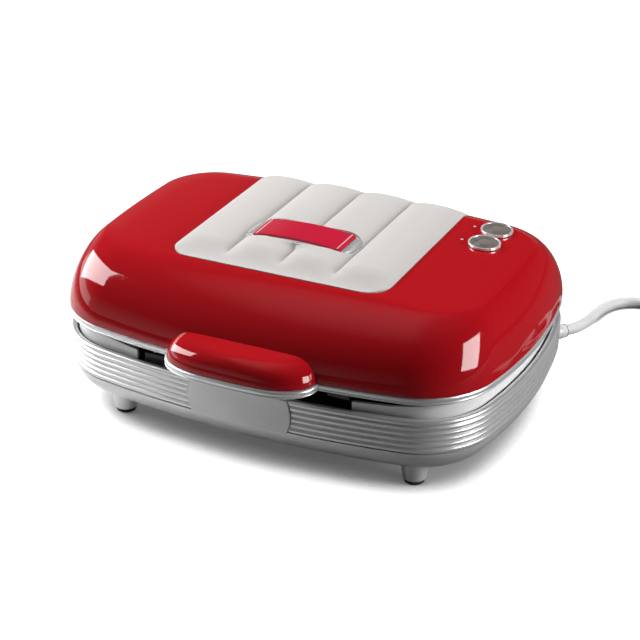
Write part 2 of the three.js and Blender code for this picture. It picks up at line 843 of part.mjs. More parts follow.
// Where the cord leaves the gland, and where its inner end starts
const cordExit = glandFoot.clone().addScaledVector(glandAxis, gland.length + gap);
const innerStart = glandFoot.clone().addScaledVector(glandAxis, -gland.inner - gap);
const innerRun = { step: 8, z: panFloor + 2 * gap + cordRadius };
{
  const end = new THREE.Vector3(terminalX + terminal.halfX / 2, terminalY + terminal.halfY + gap, innerRun.z);
  const points = [
    innerStart,
    innerStart.clone().addScaledVector(glandAxis, -innerRun.step),
    end.clone().add(new THREE.Vector3(innerRun.step, 2 * innerRun.step, 0)),
    end.clone().add(new THREE.Vector3(0, innerRun.step, 0)),
    end,
  ];
  add('inner_lead', tube(points, cordRadius, cord.sides, 13), 'sheath');
}

// Clamp that bridges the inner lead beside the terminal block
const clamp = { half: 9, depth: 5, height: 3, run: 4 };
{
  const x = terminalX + terminal.halfX / 2;
  const y = terminalY + terminal.halfY + clamp.run;
  const top = innerRun.z + cordRadius + gap + clamp.height;
  const bridge = solid(block(
    [x - clamp.half, y - clamp.depth / 2, panFloor + gap],
    [x + clamp.half, y + clamp.depth / 2, top],
  ));
  const channel = solid(block(
    [x - cordRadius - 2 * gap, y - overrun - clamp.depth, panFloor - overrun],
    [x + cordRadius + 2 * gap, y + overrun + clamp.depth, innerRun.z + cordRadius + gap],
  ));
  add('cord_clamp', geometry(bridge.subtract(channel)), 'black');
}

// Lid rim: outer lip, inner ledge, upstand into the lid and the tongue of the handle

const trim = {
  lip: 2.5,
  edge: 0.8,
  edgeHeight: 1,
  ledge: 9,
  ledgeThick: 1.5,
  upstand: 3.7,
  upstandThick: 1.6,
  upstandHeight: 3,
};
const handle = {
  x: 2.2,
  half: 48.4,
  reach: 19.7,
  shoulder: 20,
  coverHeight: 13.6,
  coverRound: 10,
  coverPinch: 5,
  undercut: 1.2,
  setback: 1,
};
const handleShares = { side: 0.35, corner: 0.75, front: 1.6, bow: 0.4 };

// Plan of the handle: a shallow bow between two rounded ends, run back into the body
function handlePlan(grow, pinch = 0) {
  const front = -body.halfDepth - handle.reach - grow;
  const half = handle.half + grow - pinch;
  const back = -body.halfDepth / 2;
  const side = front + handle.shoulder * handleShares.side;
  const corner = half - handle.shoulder * handleShares.corner;
  const ends = half - handle.shoulder * handleShares.front;
  const bow = handle.undercut * handleShares.bow;
  const waist = half - handle.undercut;
  const shape = new THREE.Shape();
  shape.moveTo(half, back);
  shape.lineTo(-half, back);
  shape.lineTo(-half, front + handle.shoulder);
  shape.bezierCurveTo(-waist, side, -corner, front + handle.undercut, -ends, front + bow);
  shape.quadraticCurveTo(0, front - bow, ends, front + bow);
  shape.bezierCurveTo(corner, front + handle.undercut, waist, side, half, front + handle.shoulder);
  shape.closePath();
  return shape;
}

{
  const ring = solid(wall([
    [trim.edge, rimBottom],
    [0, rimBottom + trim.edgeHeight],
    [0, rimTop - trim.edgeHeight],
    [trim.edge, rimTop],
    [trim.upstand, rimTop],
    [trim.upstand, rimTop + trim.upstandHeight],
    [trim.upstand + trim.upstandThick, rimTop + trim.upstandHeight],
    [trim.upstand + trim.upstandThick, rimTop],
    [trim.ledge, rimTop],
    [trim.ledge, rimTop - trim.ledgeThick],
    [trim.lip, rimTop - trim.ledgeThick],
    [trim.lip, rimBottom],
  ]));
  const within = solid(slug(trim.lip / 2, rimBottom - overrun, rimTop + overrun));
  const tongue = solid(extrude(handlePlan(0), rimBottom, rimTop, 6).translate(handle.x, 0, 0));
  add('lid_trim', geometry(join(ring, tongue.subtract(within))), 'silver');
}

// Lid shell: steep ends, a long roll at front and back, a gently crowned top

const dome = {
  base: rimTop + gap,
  wall: 2.6,
  rollX: 18.9,
  rollY: 43.4,
  crown: 4.9,
  topCorner: 28.5,
  topBow: 0.4,
  bossRadius: 4.5,
};
const domeShares = { inset: 1.52, rise: 1.77 };
const domeSteps = { outside: [0, 10, 22, 35, 48, 61, 75, 90], inside: [0, 28, 56, 90] };
const capShares = [0.55, 0.15];
const rollHalvings = 24;

const crownZ = (x, drop = 0) => lidTop - drop - dome.crown * (x / body.halfWidth) ** 2;

// Plan of the shell and share of its height at an angle of its roll
function domePlan(t, offset = 0) {
  const c = 1 - Math.cos(t) ** (2 / domeShares.inset);
  const shape = {
    a: body.halfWidth - offset - dome.rollX * c,
    b: body.halfDepth - offset - dome.rollY * c,
    r: body.corner - offset + (dome.topCorner - body.corner) * c,
    bowX: body.sideBow + (dome.topBow - body.sideBow) * c,
    bowY: body.frontBow + (dome.topBow - body.frontBow) * c,
  };
  return { shape, rise: Math.sin(t) ** (2 / domeShares.rise) };
}

// How far back the shell reaches at a given X and an angle of its roll
function domeBack(x, t) {
  const { shape } = domePlan(t);
  const { a, b, r, bowX, bowY } = shape;
  const arc = ((a - r - bowX) ** 2 + bowY ** 2) / (2 * bowY) + r;
  return b - arc + Math.sqrt(arc * arc - x * x);
}

// Height of the shell's outside over its middle, with the rolls behind and before the flat of its top
function shellZ(x, y) {
  const away = Math.abs(y);
  let [low, high] = [0, Math.PI / 2];
  if (away < domeBack(x, high)) return crownZ(x);
  for (let k = 0; k < rollHalvings; k += 1) {
    const middle = (low + high) / 2;
    if (domeBack(x, middle) > away) low = middle;
    else high = middle;
  }
  return dome.base + (crownZ(x) - dome.base) * domePlan(low).rise;
}

function domeRings(offset, steps) {
  const rings = [];
  let last = null;
  for (const angle of steps) {
    const { shape, rise } = domePlan(THREE.MathUtils.degToRad(angle), offset);
    last = outline(shape);
    const height = (x) => dome.base + (crownZ(x, offset) - dome.base) * rise;
    rings.push(last.map(([x, y]) => new THREE.Vector3(x, y, height(x))));
  }
  for (const share of capShares) {
    rings.push(last.map(([x, y]) => new THREE.Vector3(x * share, y * share, crownZ(x * share, offset))));
  }
  return rings;
}

const domeSolid = (offset) => {
  const rings = domeRings(offset, offset > 0 ? domeSteps.inside : domeSteps.outside);
  const skirt = rings[0].map((p) => new THREE.Vector3(p.x, p.y, dome.base - (offset > 0 ? overrun : 0)));
  return solid(loft(offset > 0 ? [skirt, ...rings] : rings));
};

// Quilted panel: four soft ribs along Y, faded out in front and run down over the back of the lid

const quilt = {
  depth: 3.4,
  proud: 0.4,
  pad: 0.8,
  arch: 3.2,
  ribs: 4,
  corner: 15,
  bow: 2,
  frontRoll: 16,
  backRoll: 28,
  sideRoll: 4,
  channelStart: 4,
  channelEnd: 28,
  wall: 2.4,
};

// Half width of the panel at a given Y, with rounded corners
function panelHalfWidth(y, grow) {
  const front = -panelHalf.front - grow;
  const back = panelHalf.back + grow;
  const r = quilt.corner;
  const edge = Math.min(y - front, back - y);
  const d = Math.max(0, r - edge);
  return panelHalf.width + grow - r + Math.sqrt(Math.max(0, r * r - d * d));
}

function panelPlace(grow) {
  return (u, v) => {
    const s = 0.5 - 0.5 * Math.cos(Math.PI * v);
    const y = -panelHalf.front - grow + (panelHalf.front + panelHalf.back + 2 * grow) * s;
    const x = (2 * u - 1) * panelHalfWidth(y, grow);
    return [x, y - quilt.bow * (1 - (x / panelHalf.width) ** 2) * (1 - 2 * s)];
  };
}

// Height of the panel: a pad that rolls down at its edges, with a round rib between each pair of channels
function quiltZ(x, y) {
  const { smoothstep } = THREE.MathUtils;
  const pitch = (2 * panelHalf.width) / quilt.ribs;
  const phase = THREE.MathUtils.euclideanModulo(x + panelHalf.width, pitch) / pitch;
  const arch = 1 - (2 * phase - 1) ** 2;
  const toFront = y + panelHalf.front;
  const frontRoll = smoothstep(toFront, 0, quilt.frontRoll);
  const backRoll = smoothstep(panelHalf.back - y, 0, quilt.backRoll);
  const sideRoll = smoothstep(panelHalf.width - Math.abs(x), 0, quilt.sideRoll);
  const channel = smoothstep(toFront, quilt.channelStart, quilt.channelEnd);
  const rib = quilt.arch * (1 - channel * (1 - arch));
  return shellZ(x, y) + quilt.proud + Math.min(frontRoll, backRoll) * sideRoll * (quilt.pad + rib);
}

// Badge: an arched oblong base in a seat of the panel, and the coloured plate on it

const badge = {
  x: -1.5,
  y: -14.5,
  half: 35.5,
  depth: 13.5,
  corner: 10,
  arch: 3.2,
  lift: 5.2,
  thick: 3,
  rim: 1.2,
  end: 4.8,
  plateLift: 1.4,
};

const badgeZ = (x, up) => crownZ(0) + badge.lift + up - badge.arch * ((x - badge.x) / badge.half) ** 2;

function oblongPlace(half, depth, corner) {
  return (u, v) => {
    const s = 0.5 - 0.5 * Math.cos(Math.PI * u);
    const x = (2 * s - 1) * half;
    const d = Math.max(0, corner - (half - Math.abs(x)));
    const reach = depth - corner + Math.sqrt(Math.max(0, corner * corner - d * d));
    return [badge.x + x, badge.y + (2 * v - 1) * reach];
  };
}

function badgeSlab(grow, low, high, half = badge.half, depth = badge.depth) {
  return sheet({
    across: 12,
    along: 2,
    place: oblongPlace(half + grow, depth + grow, badge.corner + grow),
    low: (x) => badgeZ(x, low),
    high: (x) => badgeZ(x, high),
  });
}

// Pilot lights: chrome bezels with dark lenses, square to the lid's top

const pilot = {
  radius: 10,
  face: 8.6,
  bore: 7.6,
  flange: 1.6,
  depth: 9,
  chamfer: 0.8,
  sideMargin: 48.4,
  backMargin: 53.1,
  pitch: 21.2,
};
const lensShares = { seat: 0.4, edge: 0.9, inner: 0.6, shoulder: 1.15, crown: 1.3 };
const pilotX = body.halfWidth - pilot.sideMargin;
const pilotBack = body.halfDepth - pilot.backMargin;
const pilots = [['power', pilotBack - pilot.pitch], ['ready', pilotBack]];
const pilotTilt = Math.atan((2 * dome.crown * pilotX) / body.halfWidth ** 2);

function atPilot(shape, y) {
  return shape.rotateY(pilotTilt).translate(pilotX, y, crownZ(pilotX));
}

const lidScrew = { sideMargin: 18, frontMargin: 50.3, length: 12 };
const lidScrewPlaces = corners(body.halfWidth - lidScrew.sideMargin, body.halfDepth - lidScrew.frontMargin);

{
  const outer = domeSolid(0);
  const inner = domeSolid(dome.wall);
  const seat = solid(sheet({
    across: 6,
    along: 10,
    place: panelPlace(gap),
    low: (x, y) => shellZ(x, y) - quilt.depth,
    high: (x, y) => shellZ(x, y) + overrun,
  }));
  const backing = solid(sheet({
    across: 4,
    along: 10,
    place: panelPlace(quilt.wall),
    low: (x, y) => shellZ(x, y) - quilt.depth - quilt.wall,
    high: (x, y) => shellZ(x, y) - dome.wall / 2,
  }));
  const bosses = lidScrewPlaces.map(({ x, y }) => (
    solid(rod(dome.bossRadius, linerTop + gap, lidTop, 8).translate(x, y, 0)).intersect(outer)
  ));
  const holes = lidScrewPlaces.map(({ x, y }) => (
    solid(rod(screw.shank + gap, linerTop - overrun, linerTop + lidScrew.length, 8).translate(x, y, 0))
  ));
  const pilotBores = pilots.map(([, y]) => (
    solid(atPilot(rod(pilot.bore + gap, -pilot.depth - overrun, overrun, 18), y))
  ));
  const shell = join(outer.subtract(inner), backing, ...bosses);
  add('lid_shell', geometry(cut(shell, seat, ...pilotBores, ...holes)), 'red');
}

{
  const top = sheet({
    across: 20,
    along: 10,
    place: panelPlace(0),
    low: (x, y) => shellZ(x, y) - quilt.depth + gap,
    high: quiltZ,
  });
  const seat = solid(badgeSlab(gap, -badge.thick - gap, overrun));
  add('quilted_panel', geometry(solid(top).subtract(seat)), 'panel');
  const frame = solid(badgeSlab(0, -badge.thick, 0));
  const tray = solid(badgeSlab(-badge.rim, -badge.thick / 2, overrun));
  add('badge_frame', geometry(frame.subtract(tray)), 'chrome');
  const colourHalf = badge.half - badge.rim - gap - badge.end;
  const colourDepth = badge.depth - badge.rim - gap;
  const lowSide = gap - badge.thick / 2;
  add('badge_plate', badgeSlab(0, lowSide, badge.plateLift, colourHalf, colourDepth), 'enamel');
}

pilots.forEach(([name, y]) => {
  const seat = gap + pilot.flange * lensShares.seat;
  const bezel = [
    [pilot.bore - pilot.flange, -pilot.depth],
    [pilot.bore, -pilot.depth],
    [pilot.bore, gap],
    [pilot.radius, gap],
    [pilot.radius, gap + pilot.flange / 2],
    [pilot.radius - pilot.chamfer, gap + pilot.flange],
    [pilot.face, gap + pilot.flange],
    [pilot.face, seat],
    [pilot.bore - pilot.flange, seat],
  ];
  bezel.push(bezel[0]);
  add(`pilot_bezel_${name}`, atPilot(turned(bezel, 18), y), 'chrome');
  const stem = pilot.bore - pilot.flange - gap;
  const r = pilot.face - gap;
  const lens = [
    [0, -pilot.depth / 2],
    [stem, -pilot.depth / 2],
    [stem, seat + gap],
    [r, seat + gap],
    [r, gap + pilot.flange * lensShares.edge],
    [r * lensShares.inner, pilot.flange * lensShares.shoulder],
    [0, pilot.flange * lensShares.crown],
  ];
  add(`pilot_lens_${name}`, atPilot(turned(lens, 12), y), 'lens');
});

// Handle cover: a round-topped cap on the tongue, in shares of its round and of its height

const coverShares = [[0, 0], [0.02, 0.3], [0.16, 0.62], [0.5, 0.88], [1, 1]];
{
  const low = rimTop + gap;
  const rings = coverShares.map(([inShare, upShare]) => {
    const inset = handle.setback + handle.coverRound * inShare;
    const { shape } = handlePlan(-inset, handle.coverPinch * inShare).extractPoints(6);
    const z = low + handle.coverHeight * upShare;
    return shape.map((p) => new THREE.Vector3(handle.x + p.x, p.y, z));
  });
  const lid = domeSolid(0);
  const clear = lid.translate([0, -gap, 0]).add(lid);
  const behind = solid(block(
    [-body.halfWidth, -body.halfDepth + body.corner / 2, 0],
    [body.halfWidth, 0, lidTop],
  ));
  add('handle_cover', geometry(cut(solid(loft(rings)), clear, behind)), 'red');
}

// Liner that carries the upper plate and closes the lid from below
{
  const panel = solid(slug(liner.inset, linerBottom, linerTop)).subtract(
    solid(extrude(wellCut(0), linerBottom - overrun, linerTop + overrun)),
  );
  const holes = lidScrewPlaces.map(({ x, y }) => (
    solid(rod(screw.shank + gap, linerBottom - overrun, linerTop + overrun, 8).translate(x, y, 0))
  ));
  const post = solid(block(
    [latchX - latch.halfWidth, postY - latch.post, linerBottom - gap - latchRise],
    [latchX + latch.halfWidth, postY, linerTop],
  ));
  add('lid_liner', geometry(cut(join(panel, post), ...holes)), 'black');
}

lidScrewPlaces.forEach(({ name, x, y }) => {
  const z = linerBottom - gap - screw.headHeight;
  add(`lid_screw_${name}`, screwPiece(lidScrew.length), 'steel').position.set(x, y, z);
});

// Plate catches and their springs

function latchSolid() {
  const hook = solid(block(
    [-latch.halfWidth, latchFront, latchRise + gap],
    [latch.halfWidth, latchFront + latch.length + latch.hook, latchRise + gap + latch.hookThick],
  ));
  const neck = solid(block(
    [-latch.halfWidth, latchFront, 0],
    [latch.halfWidth, latchFront + latch.length, latchRise + 2 * gap],
  ));
  return join(neck, hook);
}

function springSolid() {
  const points = [];
  const steps = latch.springTurns * latch.springSteps;
  const length = latch.travel + latch.springRoom - 2 * gap - 2 * latch.springWire;
  const r = latch.springRadius;
  for (let k = 0; k <= steps; k += 1) {
    const t = (2 * Math.PI * k) / latch.springSteps;
    points.push(new THREE.Vector3(r * Math.cos(t), (length * k) / steps, r * Math.sin(t)));
  }
  return tube(points, latch.springWire, latch.springSides, steps);
}

{
  const springZ = latchRise / 2;
  const springY = postY + gap + latch.springWire;
  add('lower_release', geometry(latchSolid()), 'pale').position.set(-latchX, 0, deckTop + gap);
  add('lower_release_spring', springSolid(), 'steel').position.set(-latchX, springY, deckTop + gap + springZ);
  const upper = add('upper_release', geometry(latchSolid()), 'black');
  upper.rotation.y = Math.PI;
  upper.position.set(latchX, 0, linerBottom - gap);
  const upperSpring = add('upper_release_spring', springSolid(), 'steel');
  upperSpring.position.set(latchX, springY, linerBottom - gap - springZ);
}

// Hinges: a two-eared bracket on the base, an arm on the lid, a pin through both

const bracket = { footDrop: 15, nose: 3, arm: 6 };
const sideways = new THREE.Matrix4().makeBasis(
  new THREE.Vector3(0, 1, 0),
  new THREE.Vector3(0, 0, 1),
  new THREE.Vector3(1, 0, 0),
);

// A plate cut to a profile in Y and Z, between two places along X
function profilePlate(points, x0, x1, arc) {
  const shape = new THREE.Shape();
  shape.moveTo(...points[0]);
  points.slice(1).forEach((point) => shape.lineTo(...point));
  if (arc) shape.absarc(hingeY, hingeZ, hinge.radius, ...arc);
  const extruded = extrude(shape, 0, x1 - x0, 8);
  return solid(extruded.applyMatrix4(sideways).translate(x0, 0, 0));
}

hingeSides.forEach(([sx, side]) => {
  const x = sx * hingeX;
  const half = hinge.middle / 2;
  const deep = body.halfDepth / 2;
  const foot = bandTop - bracket.footDrop;
  const bore = solid(barX(hinge.pin + gap, -body.halfWidth, body.halfWidth, hingeY, hingeZ, 10));
  const earProfile = [
    [deep, foot],
    [body.halfDepth + bracket.nose, foot],
    [hingeY + hinge.radius, hingeZ - hinge.radius],
  ];
  const webTop = hingeZ - hinge.radius - 2 * gap;
  const webProfile = [...earProfile.slice(0, 2), [hingeY + hinge.radius, webTop], [deep, bandTop]];
  const ear = (x0) => profilePlate(earProfile, x0, x0 + hinge.ear, [0, Math.PI]);
  const web = profilePlate(webProfile, x - half - hinge.ear, x + half + hinge.ear);
  const sweep = solid(barX(hinge.radius + gap, x - half, x + half, hingeY, hingeZ, 16));
  const seat = solid(slug(-gap, bandBottom - overrun, lidTop));
  const base = cut(join(web.subtract(sweep), ear(x - half - hinge.ear), ear(x + half)), seat, bore);
  add(`hinge_bracket_${side}`, geometry(base), 'silver');
  const top = rimTop + bracket.arm;
  const armProfile = [
    [hingeY - hinge.radius, hingeZ],
    [deep, hingeZ],
    [deep, top],
    [hingeY - hinge.radius / 2, top],
    [hingeY + hinge.radius, hingeZ],
  ];
  const arm = join(
    profilePlate(armProfile, x - half + gap, x + half - gap),
    solid(barX(hinge.radius, x - half + gap, x + half - gap, hingeY, hingeZ, 16)),
  );
  const rim = solid(slug(-gap, 0, rimTop + gap));
  add(`lid_hinge_arm_${side}`, geometry(cut(arm, rim, domeSolid(-gap), bore)), 'silver');
  const pinLength = half + hinge.ear;
  add(`hinge_pin_${side}`, barX(hinge.pin, x - pinLength, x + pinLength, hingeY, hingeZ, 10), 'steel');
});

// Mains cord: the free stretch, the coil, the tail, the tie and the plug

const coilStart = { x: 214, y: 193.1, run: 8 };
const strap = { thick: 1, width: 9, under: 0.1 };
const coil = {
  meanRadius: 39.5,
  pitch: 8,
  layerRise: 8,
  inTurns: 1.5,
  climb: 0.5,
  outTurns: 1.25,
  steps: 24,
  samples: 4,
};
const coilZ = strap.under + strap.thick + gap + cordRadius;
const coilOuter = coil.meanRadius + (coil.inTurns / 4) * coil.pitch;
const coilCentre = new THREE.Vector2(coilStart.x, coilStart.y - coilOuter);

function coilPoint(turns) {
  const reversal = coil.inTurns + coil.climb / 2;
  const radius = coilOuter - coil.pitch * (reversal - Math.abs(reversal - turns));
  const climbed = THREE.MathUtils.smoothstep(turns, coil.inTurns, coil.inTurns + coil.climb);
  const z = coilZ + coil.layerRise * climbed;
  const t = Math.PI / 2 - 2 * Math.PI * turns;
  return new THREE.Vector3(coilCentre.x + radius * Math.cos(t), coilCentre.y + radius * Math.sin(t), z);
}

const coilTurns = coil.inTurns + coil.climb + coil.outTurns;
const coilPoints = [new THREE.Vector3(coilStart.x - coilStart.run, coilStart.y, coilZ)];
for (let k = 0; k <= coilTurns * coil.steps; k += 1) coilPoints.push(coilPoint(k / coil.steps));
const coilLeave = coilPoints[coilPoints.length - 1];
coilPoints.push(coilLeave.clone().add(new THREE.Vector3(0, -coilStart.run, 0)));

// Least gap of the coil to itself, measured between points more than a third of a turn apart
{
  let least = Infinity;
  const path = new THREE.CatmullRomCurve3(coilPoints, false, 'centripetal');
  const curve = path.getPoints(coilPoints.length * coil.samples);
  const apart = Math.round((coil.steps * coil.samples) / 3);
  for (let i = 0; i < curve.length; i += 1) {
    for (let k = i + apart; k < curve.length; k += 1) least = Math.min(least, curve[i].distanceTo(curve[k]));
  }
  console.log(`least gap of the coil to itself: ${(least - cord.diameter).toFixed(2)} mm`);
}
add('mains_cord_coil', tube(coilPoints, cordRadius, cord.coilSides, coilPoints.length - 1), 'sheath');

// The free stretch, point by point: out of the gland, down to the table and round to the coil
const leadPoints = [
  [131.6, 121.5, 18.6],
  [132.6, 129.5, 17],
  [132.4, 139.5, 14.2],
  [131.2, 150, 10.6],
  [129.8, 161, 7.2],
  [129.2, 172, 4.9],
  [130.6, 183, 3.9],
  [135.2, 193, 3.7],
  [143.2, 200.4, 3.7],
  [153.5, 204, 3.7],
  [164.5, 204, 3.8],
  [175.5, 201.6, 4.1],
  [186.5, 197.6, 4.6],
  [197.5, 193.1, 5],
];
{
  const start = cordExit.clone().addScaledVector(glandAxis, cord.diameter);
  const end = coilPoints[0].clone().add(new THREE.Vector3(-gap, 0, 0));
  const points = [cordExit, start, ...leadPoints.map((p) => new THREE.Vector3(...p)), end];
  add('mains_cord_lead', tube(points, cordRadius, cord.sides, 24), 'sheath');
}

const plug = {
  half: 17.5,
  thick: 16,
  length: 34,
  nose: 5,
  neck: 20,
  neckWall: 1,
  corner: 6,
  away: 4,
  pinRadius: 2,
  pinLength: 19,
  pinPitch: 9.5,
};
const neckShares = { start: 0.9, half: 1.4, thick: 1.2, nose: 0.9 };
const tailPoints = [
  [254.5, 134, 12.3],
  [254.5, 124, 9.8],
  [254.5, 114, 8.3],
];
const plugZ = plug.thick / 2;
const plugNeckEnd = new THREE.Vector3(coilLeave.x, coilStart.y - 2 * coilOuter - plug.away, plugZ);
{
  const start = coilPoints[coilPoints.length - 1].clone().add(new THREE.Vector3(0, -gap, 0));
  const end = plugNeckEnd.clone().add(new THREE.Vector3(0, gap, 0));
  const points = [start, ...tailPoints.map((p) => new THREE.Vector3(...p)), end];
  add('mains_cord_tail', tube(points, cordRadius, cord.sides, 7), 'sheath');
}

// Flat plug with a tapered neck and three round pins in line
{
  const section = (half, thick, r) => {
    const ring = [];
    for (let q = 0; q < 4; q += 1) {
      const sx = q === 0 || q === 3 ? 1 : -1;
      const sz = q < 2 ? 1 : -1;
      for (let k = 0; k <= 3; k += 1) {
        const t = (Math.PI / 2) * (q + k / 3);
        ring.push([sx * (half - r) + r * Math.cos(t), sz * (thick / 2 - r) + r * Math.sin(t)]);
      }
    }
    return ring;
  };
  const neckHalf = cordRadius + plug.neckWall;
  const stations = [
    [0, neckHalf, 2 * neckHalf, neckHalf * neckShares.start],
    [plug.neck, neckHalf * neckShares.half, 2 * neckHalf * neckShares.thick, neckHalf],
    [plug.neck + plug.nose, plug.half - plug.nose, plug.thick * neckShares.nose, plug.corner],
    [plug.neck + 2 * plug.nose, plug.half, plug.thick, plug.corner],
    [plug.neck + plug.length, plug.half, plug.thick, plug.corner],
  ];
  const rings = stations.map(([d, half, thick, r]) => section(half, thick, r).map(([x, z]) => (
    new THREE.Vector3(plugNeckEnd.x + x, plugNeckEnd.y - d, plugZ + z)
  )));
  add('plug_body', loft(rings), 'sheath');
  [[-1, 'live'], [0, 'earth'], [1, 'neutral']].forEach(([k, name]) => {
    const tip = plug.pinRadius / 2;
    const profile = [
      [0, gap],
      [plug.pinRadius, gap],
      [plug.pinRadius, plug.pinLength - tip],
      [tip, plug.pinLength],
      [0, plug.pinLength],
    ];
    const pin = turned(profile, 12).rotateX(Math.PI / 2);
    add(`plug_pin_${name}`, pin, 'brass').position.set(
      plugNeckEnd.x + k * plug.pinPitch,
      plugNeckEnd.y - plug.neck - plug.length,
      plugZ,
    );
  });
}

// Tie round the coil, over both layers, on the side away from the body
{
  const tieTurn = 1 / 8;
  const angle = Math.PI / 2 - 2 * Math.PI * tieTurn;
  const inner = coilOuter - coil.pitch * (coil.inTurns + coil.climb / 2) - cordRadius - gap;
  const outer = coilOuter + cordRadius + gap;
  const top = coilZ + coil.layerRise + cordRadius + gap;
  const bottom = coilZ - cordRadius - gap;
  const half = (outer - inner) / 2;
  const rise = (top - bottom) / 2;
  const ring = rounded(half + strap.thick, rise + strap.thick, cordRadius);
  ring.holes.push(rounded(half, rise, cordRadius - strap.thick));
  const loop = extrude(ring, 0, strap.width, 2);
  loop.rotateX(Math.PI / 2).translate((outer + inner) / 2, strap.width / 2, (top + bottom) / 2);
  loop.rotateZ(angle);
  add('cord_tie', loop.translate(coilCentre.x, coilCentre.y, 0), 'black');
}

// Set the origin under the middle of the machine, from the handle to the hinges
const front = -body.halfDepth - handle.reach;
const rear = hingeY + hinge.radius;
model.position.y = -(front + rear) / 2;

export default model;
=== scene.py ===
# Countertop sandwich maker in a white studio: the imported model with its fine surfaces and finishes
import json
import math

import bmesh
import bpy
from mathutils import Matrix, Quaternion, Vector

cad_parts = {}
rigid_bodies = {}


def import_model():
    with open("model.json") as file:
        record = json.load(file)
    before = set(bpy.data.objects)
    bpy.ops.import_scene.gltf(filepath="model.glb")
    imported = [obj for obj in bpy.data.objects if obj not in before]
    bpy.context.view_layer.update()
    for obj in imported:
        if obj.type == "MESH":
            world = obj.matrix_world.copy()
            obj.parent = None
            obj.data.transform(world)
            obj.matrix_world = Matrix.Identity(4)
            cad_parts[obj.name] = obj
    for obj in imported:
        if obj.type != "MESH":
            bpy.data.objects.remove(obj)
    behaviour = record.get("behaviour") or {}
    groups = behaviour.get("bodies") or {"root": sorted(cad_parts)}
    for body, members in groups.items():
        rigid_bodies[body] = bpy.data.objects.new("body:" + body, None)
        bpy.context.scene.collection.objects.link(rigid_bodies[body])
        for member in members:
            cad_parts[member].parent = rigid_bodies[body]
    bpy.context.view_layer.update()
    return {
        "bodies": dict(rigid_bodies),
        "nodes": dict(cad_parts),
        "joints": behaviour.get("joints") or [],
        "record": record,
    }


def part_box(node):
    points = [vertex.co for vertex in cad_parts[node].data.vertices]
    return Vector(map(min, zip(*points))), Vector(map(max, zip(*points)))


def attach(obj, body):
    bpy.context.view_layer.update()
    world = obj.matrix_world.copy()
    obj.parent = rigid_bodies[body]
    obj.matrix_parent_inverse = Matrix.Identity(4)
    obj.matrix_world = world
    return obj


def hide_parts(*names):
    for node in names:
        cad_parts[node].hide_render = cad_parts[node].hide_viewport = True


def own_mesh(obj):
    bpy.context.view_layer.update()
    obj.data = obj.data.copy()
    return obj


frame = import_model()
nodes = frame["nodes"]
mm = 0.001
print("frame loaded:", len(nodes), "nodes")

# Main sizes of the body, in millimetres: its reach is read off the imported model
lidLow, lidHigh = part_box("lid_shell")
body = {
    "halfWidth": (lidHigh.x - lidLow.x) / 2 / mm,
    "halfDepth": (lidHigh.y - lidLow.y) / 2 / mm,
    "middleY": (lidHigh.y + lidLow.y) / 2 / mm,
    "corner": 48.9,
    "sideBow": 5.1,  # how far an end swells past a straight side
    "frontBow": 7.8,
}
gap = 0.3  # left between neighbouring pieces
overrun = 4.0  # how far a cutter reaches past what it cuts
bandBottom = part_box("base_band")[0].z / mm
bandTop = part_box("base_band")[1].z / mm
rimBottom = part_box("lid_trim")[0].z / mm
domeBase = lidLow.z / mm
rimTop = domeBase - gap
lidTop = lidHigh.z / mm


def place(x, y, z):
    # from the body's own millimetres to the frame's metres
    return Vector((x * mm, (y + body["middleY"]) * mm, z * mm))


# Camera at the photograph's viewing angle
cameraView = {
    "azimuth": 25.66,  # degrees round from the front to the right
    "elevation": 27.04,
    "distance": 1138.2,
    "target": (1.86, 0.0, 50.8),
    "lens": 102.55,
    "sensor": 36,
    "clip": (0.05, 60),  # in metres
}


def lineOut(bearing, rise):
    # unit vector away from the object, at a bearing round from the front to the right
    turn, lift = math.radians(bearing), math.radians(rise)
    return Vector((math.sin(turn) * math.cos(lift), -math.cos(turn) * math.cos(lift), math.sin(lift)))


def makeCamera(view):
    data = bpy.data.cameras.new("photoCamera")
    data.sensor_width = view["sensor"]
    data.lens = view["lens"]
    data.clip_start, data.clip_end = view["clip"]
    camera = bpy.data.objects.new("photoCamera", data)
    bpy.context.scene.collection.objects.link(camera)
    back = lineOut(view["azimuth"], view["elevation"])
    camera.location = place(*view["target"]) + back * view["distance"] * mm
    camera.rotation_mode = "QUATERNION"
    camera.rotation_quaternion = (-back).to_track_quat("-Z", "Y")
    bpy.context.scene.camera = camera
    bpy.context.scene.view_settings.view_transform = "Standard"


makeCamera(cameraView)
print("camera placed")

# Mains cord: one line from the gland to the plug, with its coil put away behind the right rear corner
cordRoute = {
    "diameter": 7.2,
    "foot": 60.0,  # degrees round the corner, where the gland stands
    "footZ": 22.0,
    "slope": 0.1,
    "glandLength": 22.0,
    "lead": [
        (131.6, 121.5, 18.6), (132.6, 129.5, 17.0), (132.4, 139.5, 14.2), (131.2, 150, 10.6),
        (129.8, 161, 7.2), (129.2, 172, 4.9), (130.6, 183, 3.9), (135.2, 193, 3.7), (143.2, 200.4, 3.7),
        (153.5, 204, 3.7), (164.5, 204, 3.8), (175.5, 201.6, 4.1), (186.5, 197.6, 4.6), (197.5, 193.1, 5.0),
    ],
    "coilStart": (214.0, 193.1),
    "run": 8.0,
    "meanRadius": 39.5,
    "pitch": 8.0,
    "layerRise": 8.0,
    "turnsIn": 1.5,
    "climb": 0.5,
    "turnsOut": 1.25,
    "strapUnder": 1.1,
    "tail": [(254.5, 134, 12.3), (254.5, 124, 9.8), (254.5, 114, 8.3)],
    "plugAway": 4.0,
    "plugZ": 8.0,
    "stepsPerTurn": 24,
    "samples": 4,  # points drawn between two of the route
    "roundness": 5,
}


def smoothstep(value, low, high):
    t = min(1.0, max(0.0, (value - low) / (high - low)))
    return t * t * (3 - 2 * t)


